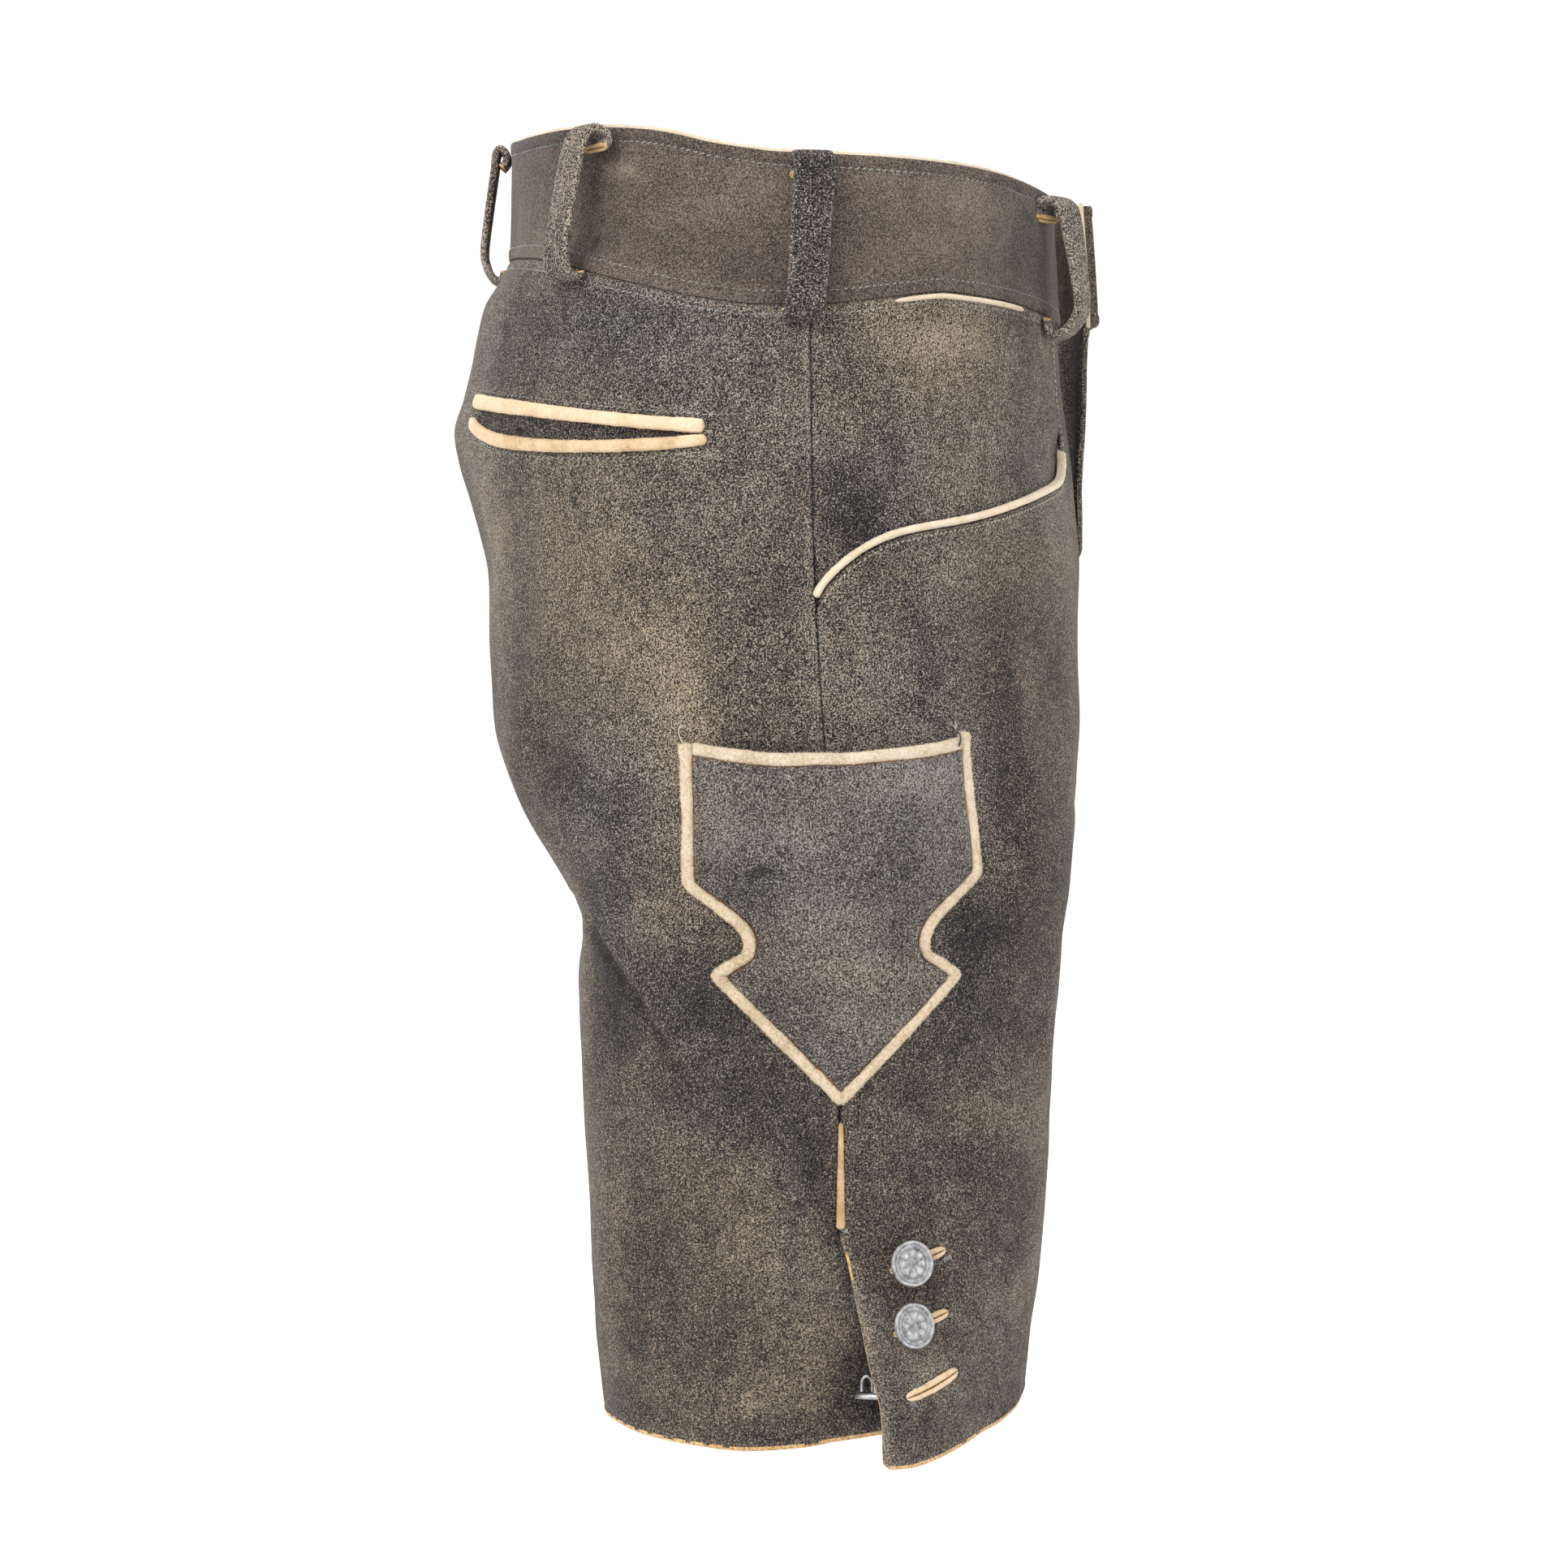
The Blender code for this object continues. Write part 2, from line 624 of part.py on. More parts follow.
def waistband(left):
    side = "left" if left else "right"
    add_shell(
        f"waistband_{side}",
        band_grid(left, BAND_LIFT),
        band_grid(left, BAND_LIFT - LEATHER),
        material("band_leather", BAND_LEATHER), left,
    )
    facing_out = BAND_LIFT - LEATHER - SEAM
    add_shell(
        f"waistband_facing_{side}",
        band_grid(left, facing_out, rise=1.6),
        band_grid(left, facing_out - FACING, rise=1.6),
        material("pale_leather", PALE_LEATHER), left,
    )


def belt_loop(name, angle, stand_off, drop, left=False):
    """A strap sewn to the band near its top edge and to the panel just below its seam."""
    top = through(WAIST_TOP, "height", "angle", angle) - drop
    seam = through(WAIST_SEAM, "height", "angle", angle)
    normal = skin(angle, (top + seam) / 2, 1.0) - skin(angle, (top + seam) / 2)
    normal = Vector((normal.x, normal.y, 0)).normalized()
    tangent = normal.cross(Vector((0, 0, 1)))
    sewn = BAND_LIFT + LAID + LOOP_THICK / 2
    slope = (skin(angle, seam - 5, 1.0) - skin(angle, seam - 5)).dot(normal)
    low = (LAID + LOOP_THICK / 2) / slope + 0.3
    if angle > 50 and left:
        low += 2.0
    path = (
        (sewn, top - 13.5), (sewn + 0.2, top - 7.5), (sewn + stand_off * 0.28, top - 3.6),
        (sewn + stand_off * 0.66, top - 1.6), (sewn + stand_off * 0.94, top - 4.6),
        (sewn + stand_off, top - 14.0), (sewn + stand_off * 1.02, (top + seam) / 2),
        (sewn + stand_off * 1.0, seam + 9.0), (sewn + stand_off * 0.88, seam - 0.5),
        (sewn + stand_off * 0.55, seam - 6.0), (low + stand_off * 0.2, seam - 7.4),
        (low + 0.2, seam - 4.8), (low, seam - 2.8),
    )
    half, thick = LOOP_WIDTH / 2, LOOP_THICK / 2
    profile = (
        (-half, 0), (-half + 1.4, -thick), (half - 1.4, -thick), (half, 0),
        (half - 1.4, thick), (-half + 1.4, thick),
    )
    sections = []
    for k, (out, height) in enumerate(path):
        before, after = path[max(k - 1, 0)], path[min(k + 1, len(path) - 1)]
        lean = Vector((after[0] - before[0], after[1] - before[1])).normalized()
        base = skin_point(angle, min(height, top))
        base.z = height
        outward = normal * -lean.y + Vector((0, 0, 1)) * lean.x
        sections.append([
            base + normal * out + tangent * across + outward * level
            for across, level in profile
        ])
    add_tube(name, sections, material("dark_leather", DARK_LEATHER), left)


# ---- pockets ----
SHIELD_COLUMNS = 10


def inset(path, amount):
    """A path of (x, y) moved to its right by an amount, its corners mitred."""
    moved = []
    for k, (x, y) in enumerate(path):
        sides = []
        for a, b in ((k - 1, k), (k, k + 1)):
            if 0 <= a and b < len(path):
                run, rise = path[b][0] - path[a][0], path[b][1] - path[a][1]
                size = math.hypot(run, rise)
                sides.append((rise / size, -run / size))
        across = sum(side[0] for side in sides) / len(sides)
        up = sum(side[1] for side in sides) / len(sides)
        scale = amount / (across * across + up * up)
        moved.append((x + across * scale, y + up * scale))
    return moved


def shield_outline(amount):
    """The front half of the leg pocket's outline, from its mouth to its tip, set in."""
    path = list(zip(SHIELD["half"], SHIELD["height"]))
    around = path + [(-x, z) for x, z in reversed(path[:-1])]
    return inset(around, amount)[:len(path)]


def shield_place(x, height):
    """The (distance, height) on the skin of a place in the leg pocket's own outline."""
    lean = SHIELD_LEAN * max(height + 305, 0)
    return x + lean, height + SHIELD_TILT * x * ease(-312, -268, height)


def shield_gape(share, height):
    """The room behind the leg pocket's leather, at a share of its half width."""
    depth = through(SHIELD_GAPE, "depth", "height", height)
    return depth * (1 - min(abs(share), 1.0) ** 2.2) ** 1.3


def shield_dip(share, height):
    """How far the curve of the mouth lowers a row of the leg pocket."""
    return SHIELD_DIP * (1 - share * share) * ease(-262, SHIELD_MOUTH, height)


def leg_pocket(left):
    side = "left" if left else "right"
    outline = shield_outline(EDGING_WIDTH + SEAM)
    heights = [p[1] for p in outline]
    halves = [max(p[0], 0.4) for p in outline]
    levels = [SHIELD_MOUTH, -230, -241, -252] + [z for z in heights if z < -256]
    levels.insert(-2, (levels[-3] + levels[-2]) / 2)
    levels.insert(-1, (levels[-2] + levels[-1]) / 2)
    grids = ([], [])
    for level in levels:
        half = float(np.interp(level, heights[::-1], halves[::-1]))
        for grid, out in zip(grids, (UNDER_POCKET + SHIELD_LEATHER, UNDER_POCKET)):
            row = []
            for column in range(SHIELD_COLUMNS + 1):
                share = 2 * column / SHIELD_COLUMNS - 1
                height = level - shield_dip(share, level)
                room = shield_gape(share, height)
                row.append(on_skin(*shield_place(share * half, height), out + room))
            grid.append(row)
    add_shell(f"leg_pocket_{side}", *grids, material("dark_leather", DARK_LEATHER), left)

    pale = material("pale_leather", PALE_LEATHER)
    front = shield_outline(EDGING_WIDTH / 2)
    fine = []
    for (x, z), (x_next, z_next) in zip(front, front[1:]):
        fine.append((x, z))
        if math.hypot(x_next - x, z_next - z) > 14:
            fine.append(((x + x_next) / 2, (z + z_next) / 2))
    fine.append(front[-1])
    path = fine + [(-x, z) for x, z in reversed(fine[:-1])]
    path = [shield_place(x, z) for x, z in path]
    add_tube(
        f"leg_pocket_edging_{side}",
        strip_sections(path, EDGING_WIDTH / 2, UNDER_POCKET, UNDER_POCKET + EDGING_THICK,
                       mitred=True),
        pale, left,
    )
    reach = shield_outline(EDGING_WIDTH + SEAM)[0][0]
    mouth = []
    lifts = []
    for k in range(17):
        share = 2 * k / 16 - 1
        lower = SHIELD_MOUTH - SHIELD_DIP * (1 - share * share)
        mouth.append(shield_place(share * reach, lower + SEAM + BINDING_WIDTH / 2))
        lifts.append(shield_gape(share, lower))
    add_tube(
        f"leg_pocket_binding_{side}",
        strip_sections(mouth, BINDING_WIDTH / 2, UNDER_POCKET, UNDER_POCKET + 2.6, lifts,
                       ends=1.0),
        pale, left,
    )


def back_pocket(left):
    side = "left" if left else "right"
    for part in ("upper", "lower"):
        fine = []
        for angle in np.linspace(BACK_POCKET["angle"][0], BACK_POCKET["angle"][-1], 12):
            height = through(BACK_POCKET, part, "angle", angle)
            fine.append((distance_of(angle, height), height))
        add_tube(
            f"back_pocket_welt_{part}_{side}",
            strip_sections(fine, WELT_WIDTH / 2, LAID, LAID + 1.9, ends=0.75),
            material("pale_leather", PALE_LEATHER), left,
        )


def front_pocket_piping(left):
    """The pale piping that stands on the scooped pocket edge."""
    path = []
    for height in (-98, -104, -108.5, -112, -116, -120.5, -125, -129.5, -131.5, -133.5, -135.4,
                   -137.4, -139.7, -142.5, -146, -150, -154, -158):
        path.append((front_start(height), height))
    side = "left" if left else "right"
    add_tube(
        f"front_pocket_piping_{side}",
        strip_sections(inset(path, 2.1), 1.6, -1.9, 1.3, ends=0.8, mitred=True),
        material("pale_leather", PALE_LEATHER), left,
    )


def watch_pocket_piping(left):
    """The short pale piping of the watch pocket, just below the waistband."""
    path = []
    for k in range(11):
        angle = 21 + (56 - 21) * k / 10
        height = through(WAIST_SEAM, "height", "angle", angle) - 1.9
        path.append((distance_of(angle, height), height))
    side = "left" if left else "right"
    add_tube(
        f"watch_pocket_piping_{side}",
        strip_sections(path, 1.15, LAID, LAID + 1.6),
        material("pale_leather", PALE_LEATHER), left,
    )


def side_piping(left):
    """The pale piping in the side seam between the leg pocket and the knee slit."""
    levels = (-359.6, -366, -374, -382, -391, -400)
    widths = [1.0, 1.05, 1.15, 1.3, 1.5, 1.55]
    side = "left" if left else "right"
    add_tube(
        f"side_piping_{side}",
        strip_sections([(0.0, z) for z in levels], widths, LAID, LAID + 1.4, ends=0.85),
        material("pale_leather", PALE_LEATHER), left,
    )


# ---- buttons and buttonholes ----
BUTTON_PROFILE = (
    (0, 0), (2.4, 0), (2.4, 2.4), (7.6, 2.7), (BUTTON_RADIUS, 3.3), (BUTTON_RADIUS, 4.1),
    (7.9, 4.7), (0, 4.9),
)


def buttonhole(name, distance, height, left):
    """Two pale lips, as one flat lens with pointed ends, on the knee flap."""
    sections = []
    for k in range(9):
        share = 2 * k / 8 - 1
        along = share * HOLE_LENGTH / 2
        width = HOLE_WIDTH / 2 * max(1 - share ** 4, 0.22)
        section = []
        for across, level in ((-1, 0), (1, 0), (0.8, 1.2), (0, 0.8), (-0.8, 1.2)):
            d = distance + along * math.cos(HOLE_SLOPE) - across * width * math.sin(HOLE_SLOPE)
            z = height + along * math.sin(HOLE_SLOPE) + across * width * math.cos(HOLE_SLOPE)
            rise = front_lift(False, d, z, 0.0)
            section.append(on_skin(d, z, 2 * LAID + rise + level))
        sections.append(section)
    add_tube(name, sections, material("pale_leather", PALE_LEATHER), left)


def knee_closure(left):
    side = "left" if left else "right"
    metal = material("metal", METAL, 0.35, 1.0)
    for k, (distance, height) in enumerate(KNEE_HOLES, 1):
        buttonhole(f"knee_buttonhole_{k}_{side}", distance, height, left)
    for k, (distance, height) in enumerate(KNEE_BUTTONS, 1):
        rise = front_lift(False, distance, height, 0.0) + 3.1
        base = on_skin(distance, height, rise)
        axis = on_skin(distance, height, rise + 1) - base
        lathe(f"knee_button_{k}_{side}", BUTTON_PROFILE, base, axis, metal, left)
    # The lowest button is undone and hangs from the underlap, face down, by the flap's edge.
    base = on_skin(11.4, -461.2, 2.5)
    lathe(
        f"knee_button_3_{side}", BUTTON_PROFILE, base, Vector((-0.12, 0, -1)), metal, left,
        up=Vector((0, 1, 0)),
    )


def main():
    for old in list(bpy.data.objects):
        bpy.data.objects.remove(old)
    for left in (False, True):
        side = "left" if left else "right"
        back_panel(left)
        front_panel(left)
        hip_piece(left)
        waistband(left)
        leg_pocket(left)
        back_pocket(left)
        front_pocket_piping(left)
        watch_pocket_piping(left)
        side_piping(left)
        knee_closure(left)
        for place in ("back", "side", "front"):
            belt_loop(f"belt_loop_{place}_{side}", *LOOPS[place], left)
    belt_loop("belt_loop_centre_back", *LOOPS["centre_back"])


main()
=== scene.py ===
import json
import math

import bmesh
import bpy
import numpy as np
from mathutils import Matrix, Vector

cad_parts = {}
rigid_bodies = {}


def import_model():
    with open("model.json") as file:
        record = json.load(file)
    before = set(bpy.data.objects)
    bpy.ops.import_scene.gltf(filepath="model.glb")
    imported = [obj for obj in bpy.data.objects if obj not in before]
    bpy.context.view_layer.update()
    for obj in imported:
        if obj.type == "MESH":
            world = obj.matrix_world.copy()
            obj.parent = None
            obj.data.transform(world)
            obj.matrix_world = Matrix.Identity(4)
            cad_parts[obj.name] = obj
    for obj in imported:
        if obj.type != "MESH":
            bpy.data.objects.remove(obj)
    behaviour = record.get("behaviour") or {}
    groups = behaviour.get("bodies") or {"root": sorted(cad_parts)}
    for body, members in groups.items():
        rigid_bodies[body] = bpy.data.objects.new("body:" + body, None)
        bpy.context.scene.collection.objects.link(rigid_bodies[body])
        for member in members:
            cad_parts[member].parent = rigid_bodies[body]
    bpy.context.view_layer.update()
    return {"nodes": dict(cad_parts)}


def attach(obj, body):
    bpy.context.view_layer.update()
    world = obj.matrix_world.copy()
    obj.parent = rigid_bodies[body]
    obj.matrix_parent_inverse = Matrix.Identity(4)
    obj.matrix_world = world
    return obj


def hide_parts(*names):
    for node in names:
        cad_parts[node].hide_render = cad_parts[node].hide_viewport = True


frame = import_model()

mm = 0.001  # tables and functions are in millimetres, meshes in metres
print("frame loaded,", len(frame["nodes"]), "solids")

# The garment's skin: a closed ring at each height. halfWidth, front and back are its reach from the
# middle of the waist; split grows from one ring round both legs to a ring for each leg.
body = {
    "height": (45, 10, -12, -24, -34, -46, -58, -72, -86, -99, -114, -128, -142, -182, -209,
               -235, -249, -262, -275, -284, -292, -313, -339, -365, -391, -417, -443, -469, -492),
    "halfWidth": (166, 167, 170, 173, 175, 177, 179, 182, 184, 186, 188, 189, 190, 191, 191,
                  190.5, 190.3, 190, 189.8, 189.6, 189.5, 189, 188.5, 188, 187.5, 187, 186.5,
                  186, 185.5),
    "front": (105, 105.5, 106, 106.3, 106.6, 107, 107.8, 109, 110.8, 112.4, 114, 115.2, 115.9,
              114.4, 113.2, 110.7, 109, 106.9, 105, 103.7, 102.7, 101.5, 100, 98.6, 97, 94.9,
              92, 89.2, 86.5),
    "back": (119.4, 119.6, 120.2, 126.4, 132.2, 135, 136.6, 139.5, 143, 141, 136.4, 133, 130, 127.8,
             124.2, 114.6, 106.8, 98.2, 90.4, 87.4, 87.8, 88.4, 87.4, 86, 84.4, 83.6, 82, 79,
             76.6),
    "split": (*[0] * 11, 0.01, 0.04, 0.26, 0.54, 0.81, 0.93, *[1] * 12),
    "legGap": (*[0] * 17, 0.2, 1.4, 2.3, 3.1, 5.2, 7.8, 10, 12, 13.8, 15.2, 16.3, 17),
    # how square the ring's corners are, outside and between the legs: 2 is an ellipse
    "square": (*[2.25] * 4, 2.27, *[2.3] * 16, 2.32, 2.34, 2.36, 2.38, *[2.4] * 4),
    "inner": (*[2.25] * 4, 2.27, *[2.3] * 6, 2.32, 2.35, 2.5, 2.65, 2.8, 2.9, 2.95, 2.92, 2.88,
              2.82, 2.7, 2.58, 2.5, 2.45, *[2.4] * 4),
}
leather = {"wall": 2.0, "facing": 1.6, "seamGap": 0.06, "laid": 0.45, "tucked": -3.0}
crotch = -262.0

# Where seams and edges run, round the body by angle (-90 centre back, 0 side, 90 centre front).
sideSeam = {
    "height": (45, -45, -142, -220, -290, -353, -402, -492),
    "back": (-3.5, -3.5, -4.6, -9, -13.3, -14.8, -14.8, -14.8),
}
waistTop = {
    "angle": (-100, -90, -80, -71, -54, -42, -33, -25, -18, -12, -6, 0, 15, 30, 49, 62, 90, 110),
    "height": (35.5, 36.5, 34.2, 31.4, 28.6, 27.1, 25.5, 23.4, 20.4, 17, 14.6, 12.8, 11.7, 11.4,
               10.2, 9.2, 8.4, 8),
}
waistSeam = {
    "angle": (-110, -90, -60, -42, -34, -23, -9, 0, 9, 20, 33, 56, 77, 90, 110),
    "height": (-13.5, -13.5, -20, -26.6, -31, -36.8, -43.9, -46.6, -46, -43, -39.4, -40.2, -41.7,
               -42, -42),
}
backHem = {
    "angle": (-180, -120, -70, -49, -38, -27, -15, -3, 8, 18, 180),
    "height": (-482, -481, -479.8, -482.2, -483.4, -484.4, -485.4, -484, -481.6, -480, -480),
}
frontHem = {
    "angle": (-10, 8, 17, 25, 34, 43, 56, 68, 78, 90, 120, 180),
    "height": (-490.5, -490.4, -489.6, -487.4, -484.4, -481.8, -479.2, -475.4, -472.8, -471.2,
               -474, -480),
}
pocketScoop = {
    "height": (-95, -101.5, -106.5, -111.5, -117.1, -122.3, -130.0, -133.6, -136.6, -139.8,
               -143.8, -150.5, -159.5),
    "angle": (72, 71.8, 70.6, 66, 56.6, 48.1, 34, 24, 17.5, 14, 11, 7.4, 4.2),
    "hipSeam": 72.0, "tuck": 12.0, "top": -92.0, "foot": -166.0,
}
seatFold = {
    "angle": (-180, -130, -90, -62, -40, -24),
    "height": (-268, -273, -283, -303, -331, -350),
    "depth": (0.4, 1.0, 1.0, 1.6, 1.2, 0.0),
}
foldRim = {
    # the sharp edge that only the finished leather has, from the side seam backwards
    "distance": (-172, -150, -126, -117, -104, -91, -85, -78, -72, -65, -58, -50),
    "height": (-270, -273, -278, -282.5, -291.5, -302, -308, -316, -324, -332, -340, -350),
    "depth": (0.2, 0.8, 1.7, 2.4, 2.6, 2.5, 2.4, 2.2, 1.8, 1.2, 0.5, 0.0),
}
softFolds = (
    # angle, height, reach round, reach up, lift
    (-66, -86, 18, 26, 2.2), (-20, -175, 12, 60, 1.5), (40, -190, 13, 90, -1.4), (75, -300, 16, 70, 1.5),
    (30, -365, 13, 45, -1.2), (-60, -400, 15, 60, 1.6), (125, -380, 16, 70, 1.5),
    (-125, -370, 16, 60, -1.4), (58, -15, 9, 30, -1.8), (-74, 5, 12, 30, -1.2),
)
flyLap = {
    "height": (45, -38, -48, -58, -72, -85, -99, -112, -121, -127, -131, -139),
    "reach": (30, 28, 28, 28, 28, 27.5, 26, 20, 11, 3, -0.15, -0.15),
    "lift": (3.2, 3.2, 3.2, 3.2, 3.2, 3.2, 3.2, 3.2, 3.2, 3.2, 3.2, 0),
    "standOff": (6.6, 10.4, 9.8, 8.6, 7.2, 5.0, 2.2, 0.4, 0.1, 0, 0, 0),
    # where, past the centre, the lap rises to its lift, and where it sweeps out to its standOff
    "rise": (-18.0, -2.0), "sweep": (-55.0, 6.0), "power": 1.3,
}
kneeSlit = {
    "height": (-300, -396, -401.9, -412, -428, -440, -450, -458, -466, -474, -492),
    "opening": (0, 0, 0, 2.4, 5.6, 8.0, 9.3, 10.2, 11.7, 12.7, 13.2),
    "flare": (0, 0, 0, 0.2, 1.2, 4.0, 9.4, 14.8, 17.6, 18.0, 18.0),
    "underlap": (-0.15, -0.15, 38, 42, 42, 41, 41, 40, 40, 39, 38),
    "dip": (0, -3.0, -3.0, -3.0, -3.2, -4.0, -5.2, -6.2, -6.5, -6.0, -4.8),
    "top": -402.0, "flareReach": (2.0, 54.0),
}

# Creases laid one by one: soft uneven troughs and ridges that only the finished leather has.
creases = (
    # from the side seam, height, slope in degrees, length, width, lift, bow
    (-118, -205, 62, 90, 9, -0.9, 8), (-134, -190, 58, 80, 8, 0.8, 6), (-96, -262, 52, 95, 10, 1.0, 7),
    (-70, -305, 44, 100, 9, -0.9, 9), (-52, -325, 42, 80, 8, 0.7, 6), (-150, -120, 20, 70, 9, -0.6, 5),
    (-92, -128, 12, 80, 10, -0.7, -6), (-60, -158, 74, 80, 12, 0.8, 4), (66, -196, 78, 120, 10, -0.8, 6),
    (92, -236, 84, 130, 9, 0.8, 5), (120, -205, 66, 90, 10, -0.9, 9), (104, -330, 70, 110, 11, 0.9, 8),
    (60, -392, 24, 80, 8, -0.6, 5), (88, -420, 32, 80, 9, 0.7, 5), (-70, -398, -18, 90, 10, -0.7, 6),
    (-40, -436, 80, 80, 9, 0.6, 3), (-108, -432, 72, 90, 9, 0.8, 4), (40, -88, 84, 60, 9, 0.6, 3),
    (84, -78, 80, 60, 8, -0.7, 3), (150, -300, 60, 80, 9, -0.8, 6), (168, -262, 38, 70, 8, 0.9, 5),
    (150, -232, 30, 70, 8, -0.9, 5), (-176, -300, -52, 80, 9, 0.7, 5), (190, -360, 78, 90, 10, 0.8, 4),
    (-190, -390, 80, 90, 10, -0.7, 4),
    # the waistband's flat bends
    (60, -12, 8, 80, 5, -0.5, 4), (84, -2, 14, 70, 5, 0.5, 3), (40, -26, 6, 70, 4, 0.4, 2),
    (-60, -6, -8, 80, 6, -0.5, 3), (-110, 6, -6, 90, 6, 0.45, 3), (-140, -2, 80, 36, 7, -0.5, 2),
    (104, -16, 78, 40, 7, -0.7, 2), (20, -20, 82, 40, 8, 0.4, 2),
)
ripples = (
    # waves to the metre round and up, phase, lift: the leather's slow unevenness
    (9, 7, 0.4, 0.24), (-14, 11, 1.9, 0.17), (21, 5, 4.1, 0.12), (6, -19, 2.7, 0.15),
    (27, 23, 5.3, 0.08), (-31, 17, 0.9, 0.07), (13, 37, 3.6, 0.06), (-41, -29, 2.2, 0.05),
)


def through(table, key, place, by=None):
    # the smooth value of a table's column, without overshoot between its rows; place is read in
    # the table's first column, or in another one
    xs = np.asarray(table[by or next(iter(table))], float)
    ys = np.asarray(table[key], float)
    if xs[0] > xs[-1]:
        xs, ys = xs[::-1], ys[::-1]
    step = np.diff(ys) / np.diff(xs)
    slope = np.zeros(len(xs))
    before, after = step[:-1], step[1:]
    same = before * after > 0
    slope[1:-1][same] = 2 * before[same] * after[same] / (before + after)[same]
    slope[0], slope[-1] = step[0], step[-1]
    place = np.clip(place, xs[0], xs[-1])
    k = np.clip(np.searchsorted(xs, place, side="right") - 1, 0, len(xs) - 2)
    width = xs[k + 1] - xs[k]
    u = (place - xs[k]) / width
    return (ys[k] * (1 + 2 * u) * (1 - u) ** 2 + slope[k] * width * u * (1 - u) ** 2
            + ys[k + 1] * u * u * (3 - 2 * u) + slope[k + 1] * width * u * u * (u - 1))


def ease(low, high, value):
    u = np.clip((value - low) / (high - low), 0.0, 1.0)
    return u * u * (3 - 2 * u)


def bump(value, width):
    return np.exp(-(value / width) ** 2)


def rounded(value, power):
    return np.sign(value) * np.abs(value) ** power


def unit(vectors):
    return vectors / np.linalg.norm(vectors, axis=-1, keepdims=True)


def slanted(across, up, slope):
    # a place in axes turned by a slope in degrees: how far along them, and how far aside
    turn = math.radians(slope)
    return (across * math.cos(turn) + up * math.sin(turn),
            up * math.cos(turn) - across * math.sin(turn))


def blots(table, across, up, total=0.0):
    # soft round marks added up: for each its place, its reach across and up, and its strength
    for at, level, wide, tall, size in table:
        total = total + size * np.exp(-((across - at) / wide) ** 2 - ((up - level) / tall) ** 2)
    return total


def pairs(distance, height):
    return np.stack([distance, height], axis=1)


def ringSizes(height):
    half, front, back, split, gap, square, inner = (
        through(body, name, height)
        for name in ("halfWidth", "front", "back", "split", "legGap", "square", "inner")
    )
    reach = half * (1 - split) - gap
    return ((reach - half) / 2, (reach + half) / 2, (back - front) / 2, (back + front) / 2,
            2 / square, 2 / inner)


def foldLift(angle, height):
    line = through(seatFold, "height", angle)
    depth = through(seatFold, "depth", angle)
    above = height - line
    bulge = np.where(above > 0, np.exp(-np.maximum(above, 0) / 34), 0.0)
    hollow = np.where(above < 0, np.exp(np.minimum(above, 0) / 16), 0.0)
    lift = depth * (bulge * ease(0, 7, above) * 0.8 - hollow * ease(0, -7, above) * 0.8)
    return blots(softFolds, angle, height, np.where(angle < -24, lift, 0.0))


def foldEdge(distance, height):
    # how far above the fold's sharp edge a place lies, and how deep the edge is there
    level = through(foldRim, "height", distance)
    slope = (through(foldRim, "height", distance + 2) - level) / 2
    depth = through(foldRim, "depth", distance)
    return (height - level) / np.hypot(1, slope), np.where(distance < -50, depth, 0.0)


def creaseLift(distance, height):
    above, depth = foldEdge(distance, height)
    lift = depth * (0.55 * np.exp(-np.abs(above) / 7) * (above > 0) * ease(-0.5, 1.5, above)
                    - 0.75 * np.exp(np.minimum(above, 0) / 9) * ease(1.2, -2.2, above))
    for at, level, slope, length, width, size, bow in creases:
        along, aside = slanted(distance - at, height - level, slope)
        share = 2 * along / length
        wide = width * (1 + 0.25 * np.sin(along * 0.09 + at))
        lift += (size * (1 + 0.3 * np.sin(along * 0.13 + level)) * bump(aside - bow * share ** 2, wide)
                 * np.exp(-share ** 4))
    for across, up, phase, size in ripples:
        lift += size * np.sin(2 * math.pi * mm * (across * distance + up * height) + phase)
    return lift


def skinPoint(angle, height, creased=True):
    # the right half's skin at an angle and height, folds included; the left is its mirror image
    centreX, reachX, centreY, reachY, power, innerPower = ringSizes(height)
    turn = np.radians(angle)
    power = np.where(np.abs(angle) > 90, innerPower, power)
    across = -reachX * rounded(np.cos(turn), power)
    along = -reachY * rounded(np.sin(turn), power)
    beside = ease(1, 28, -centreX - across)
    lift = foldLift(angle, height)
    if creased:
        lift = lift + creaseLift(distanceOf(angle, height), height)
    grow = 1 + beside * lift / np.hypot(across, along)
    return np.stack(
        [centreX + across * grow, centreY + along * grow, height + 0 * across], axis=-1
    )


def normalAt(angle, height):
    roundIt = skinPoint(angle + 0.6, height) - skinPoint(angle - 0.6, height)
    upIt = skinPoint(angle, height + 0.6) - skinPoint(angle, height - 0.6)
    return unit(np.cross(roundIt, upIt))


def skin(angle, height, out=0.0):
    return skinPoint(angle, height) + np.asarray(out)[..., None] * normalAt(angle, height)


def centreAngle(height, short=0.02):
    # the angle at which the ring comes within short of the centre plane, or 180 below it
    centreX, reachX, _, _, power, innerPower = ringSizes(height)
    share = np.maximum((centreX + short) / reachX, -1.0)
    power = np.where(share < 0, innerPower, power)
    return np.degrees(np.arccos(rounded(share, 1 / power)))


fineAngles = np.arange(-180.0, 180.01, 2.0)
fineHeights = np.arange(-500.0, 52.1, 2.0)


def seamAngle(height):
    _, _, centreY, reachY, power, _ = ringSizes(height)
    share = (centreY - through(sideSeam, "back", height)) / reachY
    return np.degrees(np.arcsin(rounded(share, 1 / power)))


